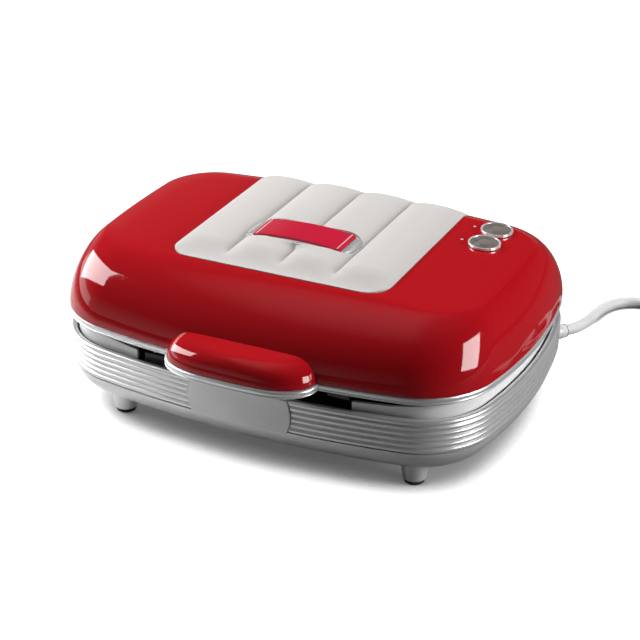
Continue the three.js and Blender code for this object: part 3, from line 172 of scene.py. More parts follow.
def curvePoints(points, steps):
    # centripetal curve through the points, sampled evenly within each span
    points = [Vector(p) for p in points]
    points = [2 * points[0] - points[1]] + points + [2 * points[-1] - points[-2]]
    made = []
    for k in range(1, len(points) - 2):
        p0, p1, p2, p3 = points[k - 1:k + 3]
        t0 = 0.0
        t1 = t0 + (p1 - p0).length ** 0.5
        t2 = t1 + (p2 - p1).length ** 0.5
        t3 = t2 + (p3 - p2).length ** 0.5
        for i in range(steps):
            t = t1 + (t2 - t1) * i / steps
            a1 = p0 * ((t1 - t) / (t1 - t0)) + p1 * ((t - t0) / (t1 - t0))
            a2 = p1 * ((t2 - t) / (t2 - t1)) + p2 * ((t - t1) / (t2 - t1))
            a3 = p2 * ((t3 - t) / (t3 - t2)) + p3 * ((t - t2) / (t3 - t2))
            b1 = a1 * ((t2 - t) / (t2 - t0)) + a2 * ((t - t0) / (t2 - t0))
            b2 = a2 * ((t3 - t) / (t3 - t1)) + a3 * ((t - t1) / (t3 - t1))
            made.append(b1 * ((t2 - t) / (t2 - t1)) + b2 * ((t - t1) / (t2 - t1)))
    made.append(points[-2])
    return made


def glandLine(route):
    # where the gland stands on the rear right corner, and the way it points
    turn = math.radians(route["foot"])
    x = body["halfWidth"] - body["corner"] - body["sideBow"] + body["corner"] * math.cos(turn)
    y = body["halfDepth"] - body["corner"] - body["frontBow"] + body["corner"] * math.sin(turn)
    axis = Vector((math.cos(turn), math.sin(turn), -route["slope"])).normalized()
    return Vector((x, y, route["footZ"])), axis


glandFoot, glandAxis = glandLine(cordRoute)
cordExit = glandFoot + glandAxis * (cordRoute["glandLength"] + gap)
coilOuter = cordRoute["meanRadius"] + cordRoute["turnsIn"] / 4 * cordRoute["pitch"]
coilZ = cordRoute["strapUnder"] + gap + cordRoute["diameter"] / 2
coilCentre = Vector((cordRoute["coilStart"][0], cordRoute["coilStart"][1] - coilOuter))


def coilLine(route):
    turns = route["turnsIn"] + route["climb"] + route["turnsOut"]
    reversal = route["turnsIn"] + route["climb"] / 2
    line = []
    for k in range(int(turns * route["stepsPerTurn"]) + 1):
        turned = k / route["stepsPerTurn"]
        radius = coilOuter - route["pitch"] * (reversal - abs(reversal - turned))
        rise = route["layerRise"] * smoothstep(turned, route["turnsIn"], route["turnsIn"] + route["climb"])
        angle = math.pi / 2 - 2 * math.pi * turned
        x, y = coilCentre.x + radius * math.cos(angle), coilCentre.y + radius * math.sin(angle)
        line.append((x, y, coilZ + rise))
    return line


def makeCord(route):
    coil = coilLine(route)
    leave = Vector(coil[-1])
    plugNeck = Vector((leave.x, route["coilStart"][1] - 2 * coilOuter - route["plugAway"], route["plugZ"]))
    line = [cordExit, cordExit + glandAxis * route["diameter"], *route["lead"],
            (route["coilStart"][0] - route["run"], route["coilStart"][1], coilZ), *coil,
            leave - Vector((0, route["run"], 0)), *route["tail"], plugNeck + Vector((0, gap, 0))]
    points = [place(*p) for p in curvePoints(line, route["samples"])]
    data = bpy.data.curves.new("mainsCord", "CURVE")
    data.dimensions = "3D"
    data.bevel_depth = route["diameter"] / 2 * mm
    data.bevel_resolution = route["roundness"]
    data.use_fill_caps = True
    spline = data.splines.new("POLY")
    spline.points.add(len(points) - 1)
    for point, target in zip(spline.points, points):
        point.co = (*target, 1)
    spline.use_smooth = True
    cord = bpy.data.objects.new("mainsCord", data)
    bpy.context.scene.collection.objects.link(cord)
    length = sum((b - a).length for a, b in zip(points, points[1:]))
    return cord, length, plugNeck


mainsCord, cordLength, plugNeck = makeCord(cordRoute)
print(f"cord laid: {cordLength:.3f} m")

# Shapes shared by the pieces
outlineSteps = {"side": 10, "corner": 26, "front": 18}  # points along a quarter of the body's outline


def planOutline(a, b, r, bowX, bowY):
    # a rectangle of half sizes a and b with bowed sides and round corners, anticlockwise from +X
    xa, ya = a - r - bowX, b - r - bowY
    frontArc = (xa * xa + bowY * bowY) / (2 * bowY)
    sideArc = (ya * ya + bowX * bowX) / (2 * bowX)
    frontAngle, sideAngle = math.asin(xa / frontArc), math.asin(ya / sideArc)
    sideSteps, cornerSteps, frontSteps = outlineSteps.values()
    quarter = []
    for k in range(sideSteps):
        t = sideAngle * k / sideSteps
        quarter.append((a - (sideArc + r) * (1 - math.cos(t)), (sideArc + r) * math.sin(t)))
    for k in range(cornerSteps):
        t = sideAngle + (math.pi / 2 - frontAngle - sideAngle) * k / cornerSteps
        quarter.append((xa + r * math.cos(t), ya + r * math.sin(t)))
    for k in range(frontSteps + 1):
        t = frontAngle * (1 - k / frontSteps)
        quarter.append(((frontArc + r) * math.sin(t), b - (frontArc + r) * (1 - math.cos(t))))
    there, back = quarter[:-1], quarter[1:][::-1]
    return there + [(-x, y) for x, y in back] + [(-x, -y) for x, y in there] + [(x, -y) for x, y in back]


def bodyOutline(inset):
    return planOutline(body["halfWidth"] - inset, body["halfDepth"] - inset, body["corner"] - inset,
                       body["sideBow"], body["frontBow"])


def bodyRing(inset, z):
    return [(x, y, z) for x, y in bodyOutline(inset)]


def frontLine(x, inset):
    # the outline's Y on the front side at a given X
    b, r = body["halfDepth"] - inset, body["corner"] - inset
    xa = body["halfWidth"] - inset - r - body["sideBow"]
    radius = (xa * xa + body["frontBow"] ** 2) / (2 * body["frontBow"]) + r
    return -(b - radius) - math.sqrt(radius * radius - x * x)


def newObject(name, points, faces):
    mesh = bpy.data.meshes.new(name)
    mesh.from_pydata([place(*p) for p in points], [], faces)
    mesh.validate()
    piece = bpy.data.objects.new(name, mesh)
    bpy.context.scene.collection.objects.link(piece)
    work = bmesh.new()
    work.from_mesh(mesh)
    bmesh.ops.recalc_face_normals(work, faces=work.faces)
    work.to_mesh(mesh)
    work.free()
    return piece


def loft(name, rings, closed=False):
    # skin over rings of equal count, closed onto itself or by a fan at each end
    count = len(rings[0])
    points = [p for ring in rings for p in ring]
    faces = []
    for i in range(len(rings) if closed else len(rings) - 1):
        low, high = i * count, (i + 1) % len(rings) * count
        for k in range(count):
            following = (k + 1) % count
            faces.append((low + k, low + following, high + following, high + k))
    if not closed:
        for ring in (0, len(rings) - 1):
            middle = tuple(sum(p[axis] for p in rings[ring]) / count for axis in range(3))
            points.append(middle)
            hub = len(points) - 1
            faces.extend((ring * count + k, ring * count + (k + 1) % count, hub) for k in range(count))
    return newObject(name, points, faces)


def gridSlab(name, across, along, points):
    # a slab between two grids of points, given row by row, the lower or inner grid first
    columns, layer = across + 1, (across + 1) * (along + 1)
    faces = []
    for j in range(along):
        for i in range(across):
            k = j * columns + i
            faces.append((k, k + columns, k + columns + 1, k + 1))
            faces.append((layer + k, layer + k + 1, layer + k + columns + 1, layer + k + columns))
    edge = list(range(across)) + [j * columns + across for j in range(along)]
    edge += [along * columns + i for i in range(across, 0, -1)] + [j * columns for j in range(along, 0, -1)]
    for k, p in enumerate(edge):
        q = edge[(k + 1) % len(edge)]
        faces.append((p, q, q + layer, p + layer))
    return newObject(name, points, faces)


def sheet(name, across, along, spot, low, high):
    # a pad between two height functions over spot(u, v)
    spots = [spot(i / across, j / along) for j in range(along + 1) for i in range(across + 1)]
    points = [(x, y, height(x, y)) for height in (low, high) for x, y in spots]
    return gridSlab(name, across, along, points)


def turnedPiece(name, profile, origin, axis=(0, 0, 1), sides=64):
    # turned about an axis from (radius, height) points, closed at the axis or onto itself
    points, rows = [], []
    for r, z in profile:
        if r == 0:
            rows.append([len(points)])
            points.append(Vector((0, 0, z)))
        else:
            rows.append(list(range(len(points), len(points) + sides)))
            for k in range(sides):
                t = 2 * math.pi * k / sides
                points.append(Vector((r * math.cos(t), r * math.sin(t), z)))
    following = rows[1:]
    if len(rows[0]) > 1 and len(rows[-1]) > 1:
        following.append(rows[0])
    faces = []
    for a, b in zip(rows, following):
        for k in range(sides):
            n = (k + 1) % sides
            corners = dict.fromkeys((a[k % len(a)], a[n % len(a)], b[n % len(b)], b[k % len(b)]))
            if len(corners) > 2:
                faces.append(tuple(corners))
    turn = Vector((0, 0, 1)).rotation_difference(Vector(axis))
    origin = Vector(origin)
    return newObject(name, [tuple(turn @ p + origin) for p in points], faces)


longestFillet = 0.45  # of the shorter side beside a corner


def fillet(points, pieces=4, closed=True):
    # rounds the corners of a flat path; a point brings its reach as a third value
    made = []
    count = len(points)
    for k, point in enumerate(points):
        p = Vector(point[:2])
        r = point[2] if len(point) > 2 else 0
        if not closed and k in (0, count - 1) or r <= 0:
            made.append(tuple(p))
            continue
        before, after = Vector(points[k - 1][:2]) - p, Vector(points[(k + 1) % count][:2]) - p
        reach = min(r, before.length * longestFillet, after.length * longestFillet)
        a, b = p + before.normalized() * reach, p + after.normalized() * reach
        for i in range(pieces + 1):
            t = i / pieces
            made.append(tuple(a * (1 - t) ** 2 + p * (2 * t * (1 - t)) + b * t * t))
    return made


def wall(name, profile):
    # a profile of (inset, height) points, run round the body
    return loft(name, [bodyRing(inset, z) for inset, z in profile], closed=True)


def roundedDistance(x, y, halfX, halfY, r):
    # how far a point lies outside a rectangle with round corners
    dx, dy = abs(x) - (halfX - r), abs(y) - (halfY - r)
    return math.hypot(max(dx, 0), max(dy, 0)) + min(max(dx, dy), 0) - r


def blockPiece(name, low, high):
    corners = [(x, y, z) for z in (low[2], high[2]) for y in (low[1], high[1]) for x in (low[0], high[0])]
    faces = [(0, 2, 3, 1), (4, 5, 7, 6), (0, 1, 5, 4), (2, 6, 7, 3), (0, 4, 6, 2), (1, 3, 7, 5)]
    return newObject(name, corners, faces)


def rodPiece(name, radius, origin, axis, reach, sides=48):
    start, end = reach
    return turnedPiece(name, [(0, start), (radius, start), (radius, end), (0, end)], origin, axis, sides)


def combine(piece, tools, operation="DIFFERENCE"):
    # cuts or joins with other pieces, which are used up
    for tool in tools:
        step = piece.modifiers.new("carve", "BOOLEAN")
        step.operation = operation
        step.solver = "EXACT"
        step.object = tool
    graph = bpy.context.evaluated_depsgraph_get()
    made = bpy.data.meshes.new_from_object(piece.evaluated_get(graph))
    piece.modifiers.clear()
    old = piece.data
    piece.data = made
    bpy.data.meshes.remove(old)
    for tool in tools:
        bpy.data.objects.remove(tool)
    return piece


def bevelled(piece, width, segments=2, angle=32):
    step = piece.modifiers.new("softEdge", "BEVEL")
    step.width = width * mm
    step.segments = segments
    step.limit_method = "ANGLE"
    step.angle_limit = math.radians(angle)
    step.use_clamp_overlap = True
    return piece


def settle(piece, finish, rides, angle=38):
    # the last step for every made piece: smooth it, dress it and give it its body
    if piece.type == "MESH":
        piece.data.polygons.foreach_set("use_smooth", [True] * len(piece.data.polygons))
        piece.data.set_sharp_from_angle(angle=math.radians(angle))
    piece.data.materials.clear()
    piece.data.materials.append(finish)
    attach(piece, rides)
    return piece


def standIn(piece, slot, rides, *stands, angle=38):
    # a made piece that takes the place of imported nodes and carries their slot
    settle(piece, finishes[slot], rides, angle)
    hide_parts(*stands)
    return piece


# Finishes


def startMaterial(name):
    material = bpy.data.materials.new(name)
    material.use_nodes = True
    tree = material.node_tree
    return material, tree, tree.nodes["Principled BSDF"]


def addNode(tree, kind, **settings):
    node = tree.nodes.new(kind)
    for key, value in settings.items():
        if key in node.inputs:
            node.inputs[key].default_value = value
        else:
            setattr(node, key, value)
    return node


def mapped(tree, value, before=(0.0, 1.0), after=(0.0, 1.0), blend="LINEAR"):
    node = addNode(tree, "ShaderNodeMapRange", interpolation_type=blend)
    for label, number in zip(("From Min", "From Max", "To Min", "To Max"), (*before, *after)):
        node.inputs[label].default_value = number
    tree.links.new(value, node.inputs["Value"])
    return node.outputs["Result"]


def newGroup(name, inputs, outputs):
    group = bpy.data.node_groups.new(name, "ShaderNodeTree")
    for label, value in inputs.items():
        socket = group.interface.new_socket(label, in_out="INPUT", socket_type="NodeSocketFloat")
        socket.default_value = value
    for label, kind in outputs.items():
        group.interface.new_socket(label, in_out="OUTPUT", socket_type=kind)
    return group, group.nodes.new("NodeGroupInput"), group.nodes.new("NodeGroupOutput")


def objectCoordinates(tree):
    return addNode(tree, "ShaderNodeTexCoord").outputs["Object"]


def makeGrainGroup():
    # fine moulded grain: a height for the bump and a soft mask that varies the roughness
    group, given, result = newGroup("mouldedGrain", {"Scale": 900.0, "Drift": 18.0},
                                    {"Height": "NodeSocketFloat", "Mask": "NodeSocketFloat"})
    where = objectCoordinates(group)
    grain = addNode(group, "ShaderNodeTexNoise", Detail=4.0, Roughness=0.65)
    drift = addNode(group, "ShaderNodeTexNoise", Detail=3.0, Roughness=0.55)
    for noise, label in ((grain, "Scale"), (drift, "Drift")):
        group.links.new(where, noise.inputs["Vector"])
        group.links.new(given.outputs[label], noise.inputs["Scale"])
    group.links.new(grain.outputs["Fac"], result.inputs["Height"])
    group.links.new(drift.outputs["Fac"], result.inputs["Mask"])
    return group


def makeFlakeGroup():
    # metal flake in paint: each small cell is a little lighter or darker
    group, given, result = newGroup("paintFlake", {"Scale": 1800.0, "Drift": 14.0},
                                    {"Flake": "NodeSocketFloat", "Mask": "NodeSocketFloat"})
    where = objectCoordinates(group)
    cells = addNode(group, "ShaderNodeTexVoronoi", feature="F1")
    split = addNode(group, "ShaderNodeSeparateColor")
    drift = addNode(group, "ShaderNodeTexNoise", Detail=3.0)
    group.links.new(where, cells.inputs["Vector"])
    group.links.new(where, drift.inputs["Vector"])
    group.links.new(given.outputs["Scale"], cells.inputs["Scale"])
    group.links.new(given.outputs["Drift"], drift.inputs["Scale"])
    group.links.new(cells.outputs["Color"], split.inputs["Color"])
    group.links.new(split.outputs["Red"], result.inputs["Flake"])
    group.links.new(drift.outputs["Fac"], result.inputs["Mask"])
    return group


def makeHandlingGroup():
    # marks of use on gloss and bright metal: hairlines and the soft patches that wiping leaves
    group, given, result = newGroup("handlingMarks", {"Hairlines": 260.0, "Patches": 9.0},
                                    {"Scratch": "NodeSocketFloat", "Patch": "NodeSocketFloat"})
    where = objectCoordinates(group)
    stretch = addNode(group, "ShaderNodeMapping", Scale=(1.0, 0.06, 1.0), Rotation=(0.2, 0.1, 0.6))
    lines = addNode(group, "ShaderNodeTexNoise", Detail=2.0)
    patches = addNode(group, "ShaderNodeTexNoise", Detail=4.0, Roughness=0.6)
    group.links.new(where, stretch.inputs["Vector"])
    group.links.new(stretch.outputs["Vector"], lines.inputs["Vector"])
    group.links.new(given.outputs["Hairlines"], lines.inputs["Scale"])
    group.links.new(where, patches.inputs["Vector"])
    group.links.new(given.outputs["Patches"], patches.inputs["Scale"])
    scratch = mapped(group, lines.outputs["Fac"], before=(0.62, 0.74))
    group.links.new(scratch, result.inputs["Scratch"])
    group.links.new(patches.outputs["Fac"], result.inputs["Patch"])
    return group


grainGroup = makeGrainGroup()
flakeGroup = makeFlakeGroup()
handlingGroup = makeHandlingGroup()


def useGroup(tree, group, **values):
    node = tree.nodes.new("ShaderNodeGroup")
    node.node_tree = group
    for key, value in values.items():
        node.inputs[key].default_value = value
    return node


def mixColours(tree, factor, first, second):
    mix = addNode(tree, "ShaderNodeMix", data_type="RGBA")
    tree.links.new(factor, mix.inputs["Factor"])
    mix.inputs["A"].default_value = (*first, 1)
    mix.inputs["B"].default_value = (*second, 1)
    return mix.outputs["Result"]


def varyRoughness(tree, shader, mask, smoothest, roughest):
    sheen = mapped(tree, mask, after=(smoothest, roughest))
    tree.links.new(sheen, shader.inputs["Roughness"])


def addBump(tree, shader, height, distance, strength):
    bump = addNode(tree, "ShaderNodeBump", Strength=strength, Distance=distance * mm)
    tree.links.new(height, bump.inputs["Height"])
    tree.links.new(bump.outputs["Normal"], shader.inputs["Normal"])


grainStrength = 0.5


def mouldedPlastic(name, dark, light, roughness, grain=900.0, drift=18.0, bump=0.02, spread=0.06):
    # moulded plastic: two close tones, a grain too fine to see from far off, uneven sheen
    material, tree, shader = startMaterial(name)
    texture = useGroup(tree, grainGroup, Scale=grain, Drift=drift)
    tree.links.new(mixColours(tree, texture.outputs["Mask"], dark, light), shader.inputs["Base Color"])
    varyRoughness(tree, shader, texture.outputs["Mask"], roughness - spread, roughness + spread)
    addBump(tree, shader, texture.outputs["Height"], bump, grainStrength)
    return material


# heights in millimetres, sheens as steps in roughness
glossMarks = {"patches": 7.0, "hairlineSheen": 0.05, "ripple": 150.0, "rippleHeight": 0.004,
              "rippleStrength": 0.35, "coatRoughness": 0.03}


def glossPlastic(name, dark, light, roughness, specular=0.5, coat=0.0, look=glossMarks):
    # clear gloss: faint patches in the colour, hairlines that only show in the highlights
    material, tree, shader = startMaterial(name)
    marks = useGroup(tree, handlingGroup, Patches=look["patches"])
    tree.links.new(mixColours(tree, marks.outputs["Patch"], dark, light), shader.inputs["Base Color"])
    varyRoughness(tree, shader, marks.outputs["Scratch"], roughness, roughness + look["hairlineSheen"])
    ripple = addNode(tree, "ShaderNodeTexNoise", Scale=look["ripple"], Detail=1.0)
    tree.links.new(objectCoordinates(tree), ripple.inputs["Vector"])
    addBump(tree, shader, ripple.outputs["Fac"], look["rippleHeight"], look["rippleStrength"])
    shader.inputs["Specular IOR Level"].default_value = specular
    shader.inputs["Coat Weight"].default_value = coat
    shader.inputs["Coat Roughness"].default_value = look["coatRoughness"]
    return material


paintMarks = {"smoother": 0.04, "rougher": 0.05, "flakeHeight": 0.006, "flakeStrength": 0.4}


def metallicPaint(name, dark, light, roughness, metallic, flake=1800.0, look=paintMarks):
    # satin paint: its flake sparkles a little, its sheen drifts over the surface
    material, tree, shader = startMaterial(name)
    paint = useGroup(tree, flakeGroup, Scale=flake)
    tree.links.new(mixColours(tree, paint.outputs["Flake"], dark, light), shader.inputs["Base Color"])
    ends = (roughness - look["smoother"], roughness + look["rougher"])
    varyRoughness(tree, shader, paint.outputs["Mask"], *ends)
    addBump(tree, shader, paint.outputs["Flake"], look["flakeHeight"], look["flakeStrength"])
    shader.inputs["Metallic"].default_value = metallic
    return material


metalMarks = {"hairlines": 260.0, "patches": 22.0, "hairlineSheen": 0.1, "hairlineHeight": 0.004,
              "hairlineStrength": 0.3}


def brightMetal(name, dark, light, roughness, metallic=1.0, look=metalMarks):
    # bare or plated metal: hairlines and wiped patches
    material, tree, shader = startMaterial(name)
    marks = useGroup(tree, handlingGroup, Hairlines=look["hairlines"], Patches=look["patches"])
    tree.links.new(mixColours(tree, marks.outputs["Patch"], dark, light), shader.inputs["Base Color"])
    varyRoughness(tree, shader, marks.outputs["Scratch"], roughness, roughness + look["hairlineSheen"])
    addBump(tree, shader, marks.outputs["Scratch"], look["hairlineHeight"], look["hairlineStrength"])
    shader.inputs["Metallic"].default_value = metallic
    return material


finishes = {
    "red_gloss": glossPlastic("redGloss", (0.39, 0.005, 0.009), (0.43, 0.007, 0.012), 0.05, specular=0.42),
    "silver_paint": metallicPaint("silverPaint", (0.71, 0.71, 0.72), (0.80, 0.80, 0.81), 0.30, 0.60,
                                  flake=3200.0),
    "hinge_paint": metallicPaint("hingePaint", (0.40, 0.40, 0.41), (0.54, 0.54, 0.55), 0.36, 0.85),
    "pale_moulding": mouldedPlastic("paleMoulding", (0.80, 0.80, 0.81), (0.86, 0.86, 0.87), 0.36),
    "panel_moulding": mouldedPlastic("panelMoulding", (0.55, 0.525, 0.51), (0.60, 0.58, 0.56), 0.42,
                                     grain=1300.0, bump=0.012),
    "bright_chrome": brightMetal("brightChrome", (0.84, 0.84, 0.85), (0.90, 0.90, 0.91), 0.13, metallic=0.55),
    "red_enamel": glossPlastic("redEnamel", (0.50, 0.008, 0.03), (0.58, 0.012, 0.045), 0.10, coat=0.5),
    "smoked_lens": glossPlastic("smokedLens", (0.15, 0.132, 0.122), (0.22, 0.192, 0.178), 0.34),
    "black_moulding": mouldedPlastic("blackMoulding", (0.012, 0.012, 0.013), (0.022, 0.022, 0.023), 0.45,
                                     grain=700.0, bump=0.03),
    "nonstick_coating": mouldedPlastic("nonstickCoating", (0.022, 0.022, 0.023), (0.040, 0.040, 0.041), 0.40,
                                       grain=1600.0, bump=0.02, drift=40.0, spread=0.08),
    "bright_steel": brightMetal("brightSteel", (0.46, 0.46, 0.47), (0.58, 0.58, 0.59), 0.24),
    "foot_rubber": mouldedPlastic("footRubber", (0.010, 0.010, 0.010), (0.020, 0.020, 0.020), 0.78,
                                  grain=500.0, bump=0.05),
    "cord_sheath": mouldedPlastic("cordSheath", (0.60, 0.60, 0.61), (0.66, 0.66, 0.67), 0.40, grain=1100.0,
                                  bump=0.02, drift=30.0),
    "white_ceramic": mouldedPlastic("whiteCeramic", (0.62, 0.58, 0.50), (0.72, 0.69, 0.62), 0.62, grain=600.0,
                                    bump=0.04),
    "plug_brass": brightMetal("plugBrass", (0.62, 0.44, 0.14), (0.72, 0.53, 0.20), 0.20),
}
print("finishes made:", len(finishes))

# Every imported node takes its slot's finish, and edges of the small hard pieces are eased
nodeSlots = {part["node"]: part["material_slot"] for part in frame["record"]["subparts"]}
edgeEase = {"hinge_bracket": 0.45, "lid_hinge_arm": 0.45, "lower_release": 0.35, "upper_release": 0.35,
            "base_deck": 0.4, "lid_liner": 0.4, "terminal_block": 0.5, "cord_clamp": 0.4, "cord_tie": 0.25,
            "lower_reflector": 0.3, "upper_reflector": 0.3}
dressing = {"weld": 0.002, "flatAngle": 1.5, "splitAngle": 34, "evenWeight": 80}


def dressNode(name, piece):
    piece.data.materials.clear()
    piece.data.materials.append(finishes[nodeSlots[name]])
    normals = piece.data.attributes.get("custom_normal")
    if normals:
        piece.data.attributes.remove(normals)
    piece.data.polygons.foreach_set("use_smooth", [True] * len(piece.data.polygons))
    weld = piece.modifiers.new("weld", "WELD")
    weld.merge_threshold = dressing["weld"] * mm
    width = next((w for start, w in edgeEase.items() if name.startswith(start) and "spring" not in name), 0)
    if width:
        flat = piece.modifiers.new("flat", "DECIMATE")
        flat.decimate_type = "DISSOLVE"
        flat.angle_limit = math.radians(dressing["flatAngle"])
        bevelled(piece, width)
        even = piece.modifiers.new("even", "WEIGHTED_NORMAL")
        even.weight = dressing["evenWeight"]
        even.keep_sharp = True
    else:
        split = piece.modifiers.new("split", "EDGE_SPLIT")
        split.split_angle = math.radians(dressing["splitAngle"])


for nodeName, nodePiece in nodes.items():
    dressNode(nodeName, nodePiece)
print("packed nodes dressed")

# Base: underpan with its legs and vents, ribbed band, plaque, pale lip
panShape = {
    "wall": 2.5,
    "rollIn": 34.0,
    "topInset": 1.5,
    "fullness": 1.8,  # 2 is a round side, more is a squarer one
    "bottom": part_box("base_pan")[0].z / mm,
    "levels": (22, 12),  # outside and inside
    "legTop": 8.0,
    "legFoot": 7.0,
    "legRound": 0.6,
    "legHeight": 7.2,
    "legRoot": 5.0,
    "legX": 97.7,
    "legY": 72.2,
    "screwX": 60.0,
    "screwY": 40.0,
    "screwBore": 2.2,
    "ventLength": 34.0,
    "ventWidth": 3.0,
    "ventPitch": 8.0,
    "ventY": 30.0,
    "entryBore": 5.3,
    "entryReach": (-16.0, 8.0),
}


def panRings(shape, offset, lift, levels):
    floor = shape["bottom"] + shape["legHeight"]
    top = bandBottom - gap
    power = 2 / shape["fullness"]
    rings = []
    for k in range(levels + 1):
        t = math.pi / 2 * k / levels
        inset = shape["topInset"] + offset + shape["rollIn"] * (1 - math.sin(t) ** power)
        rings.append(bodyRing(inset, top - (top - floor - lift) * math.cos(t) ** power))
    return rings


def makePan(shape):
    floor = shape["bottom"] + shape["legHeight"]
    outside = panRings(shape, 0, 0, shape["levels"][0])
    inside = panRings(shape, shape["wall"], shape["wall"], shape["levels"][1])[::-1]
    pan = loft("underpan", outside + inside)
    root = shape["legHeight"] + shape["legRoot"]
    flank = [(shape["legFoot"], 0, shape["legRound"]), (shape["legTop"], shape["legHeight"])]
    legProfile = fillet([(0, 0), *flank, (shape["legTop"], root), (0, root)], pieces=5, closed=False)
    tools, legs = [], []
    for sx in (-1, 1):
        for sy in (-1, 1):
            origin = (sx * shape["legX"], sy * shape["legY"], shape["bottom"])
            legs.append(turnedPiece("leg", legProfile, origin, sides=56))
            screw = (sx * shape["screwX"], sy * shape["screwY"], floor)
            reach = (-overrun, 2 * overrun)
            tools.append(rodPiece("bore", shape["screwBore"], screw, (0, 0, 1), reach, sides=24))
    for side in (-1, 1):
        for k in (-1, 0, 1):
            x, y = k * shape["ventPitch"], side * shape["ventY"]
            half, width = shape["ventLength"] / 2, shape["ventWidth"] / 2
            low, high = (x - width, y - half, floor - overrun), (x + width, y + half, floor + overrun)
            tools.append(blockPiece("vent", low, high))
    tools.append(rodPiece("entry", shape["entryBore"], tuple(glandFoot), glandAxis, shape["entryReach"]))
    combine(pan, legs, "UNION")
    return combine(pan, tools)


standIn(makePan(panShape), "silver_paint", "base", "base_pan")
print("underpan made")

bandShape = {
    "ribs": 5,
    "depth": 1.2,
    "deeper": 0.5,
    "ribShares": (0.1, 0.32, 0.8),  # groove, start and end of the crest, as shares of the pitch
    "crest": 0.55,  # roundings of crest and groove
    "root": 0.1,
    "lead": 0.35,
    "bead": 3.6,
    "beadShares": (0.95, 0.75, 0.3),  # groove, low and high end of the bead's face, down from the top
    "beadRounds": (0.7, 1.4),
    "wall": 3.4,
    "ledge": 7.0,
    "ledgeHeight": 2.0,
    "inner": 0.3,
}


def bandProfile(shape):
    height = bandTop - bandBottom
    pitch = (height - shape["bead"]) / shape["ribs"]
    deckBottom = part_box("base_deck")[0].z / mm
    line = []
    for k in range(shape["ribs"]):
        z = bandBottom + k * pitch
        lead = shape["lead"] * (1 - k / shape["ribs"])
        root, low, high = shape["ribShares"]
        line.append((lead + shape["depth"] + shape["deeper"], z + pitch * root, shape["root"]))
        line.append((lead, z + pitch * low, shape["crest"]))
        line.append((lead, z + pitch * high, shape["crest"]))
    bead, inner = shape["bead"], shape["inner"]
    groove, low, high = (bandTop - bead * share for share in shape["beadShares"])
    lowRound, highRound = shape["beadRounds"]
    shelf = deckBottom - gap
    line += [(shape["depth"], groove, shape["root"]), (0, low, lowRound), (0, high, highRound),
             (bandTop - high, bandTop, highRound), (shape["wall"], bandTop, inner), (shape["wall"], shelf),
             (shape["ledge"], shelf, inner), (shape["ledge"], shelf - shape["ledgeHeight"], inner),
             (shape["wall"], shelf - 2 * shape["ledgeHeight"]), (shape["wall"], bandBottom)]
    return fillet(line)


plaqueShape = {"half": 31.0, "swell": 2.5, "proud": 0.6, "depth": 1.9, "steps": (64, 28), "ease": 0.5}


def plaquePiece(name, shape, grow, inside, outside):
    # a plate let into the ribs, widest halfway up and bent along the front of the body
    across, along = shape["steps"]
    low, high = bandBottom - grow, bandTop + grow
    spots = []
    for j in range(along + 1):
        v = j / along
        half = shape["half"] + grow + 4 * shape["swell"] * v * (1 - v)
        spots += [((2 * i / across - 1) * half, low + (high - low) * v) for i in range(across + 1)]
    points = [(x, frontLine(x, inset), z) for inset in (inside, outside) for x, z in spots]
    return gridSlab(name, across, along, points)


def makeBand(shape, plaque):
    recess = plaquePiece("recess", plaque, 2 * gap, plaque["depth"], -plaque["proud"] - overrun)
    return combine(wall("ribbedBand", bandProfile(shape)), [recess])


def makePlaque(shape):
    plaque = plaquePiece("frontPlaque", shape, 0, shape["depth"] - gap, -shape["proud"])
    return bevelled(plaque, shape["ease"], segments=3)


standIn(makeBand(bandShape, plaqueShape), "silver_paint", "base", "base_band", angle=50)
standIn(makePlaque(plaqueShape), "pale_moulding", "base", "front_plaque")
print("ribbed band and plaque made")

lipShape = {
    "inset": 5.0,
    "thick": 2.0,
    "top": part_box("base_rim")[1].z / mm,
    "bottom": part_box("base_rim")[0].z / mm,
    "round": 0.9,
    "ease": 0.35,
    "left": -72.5,  # both ends of the mouth, and how the lip runs down to them
    "leftSlope": 33.0,
    "leftDrop": 3.0,
    "right": 68.5,
    "rightSlope": 45.0,
    "rightDrop": 3.6,
    "rightLip": 2.6,
}


def makeLip(shape):
    outer, inner = shape["inset"], shape["inset"] + shape["thick"]
    bottom, top = shape["bottom"], shape["top"]
    profile = [(outer, bottom), (outer, top, shape["round"]), (inner, top, shape["round"]), (inner, bottom)]
    lip = wall("paleLip", fillet(profile, pieces=6))
    left, right = shape["left"], shape["right"]
    farLeft, farRight = left - shape["leftSlope"], right + shape["rightSlope"]
    opening = [(left, bottom - overrun), (right, bottom - overrun), (right, top - shape["rightDrop"]),
               ((right + farRight) / 2, top - shape["rightLip"]), (farRight, top), (farRight, top + overrun),
               (farLeft, top + overrun), (farLeft, top), (left, top - shape["leftDrop"])]
    ends = (-body["halfDepth"] - overrun, -body["halfDepth"] / 2)
    mouth = loft("mouth", [[(x, y, z) for x, z in opening] for y in ends])
    return bevelled(combine(lip, [mouth]), shape["ease"], segments=3, angle=50)


standIn(makeLip(lipShape), "pale_moulding", "base", "base_rim")
print("lip made")

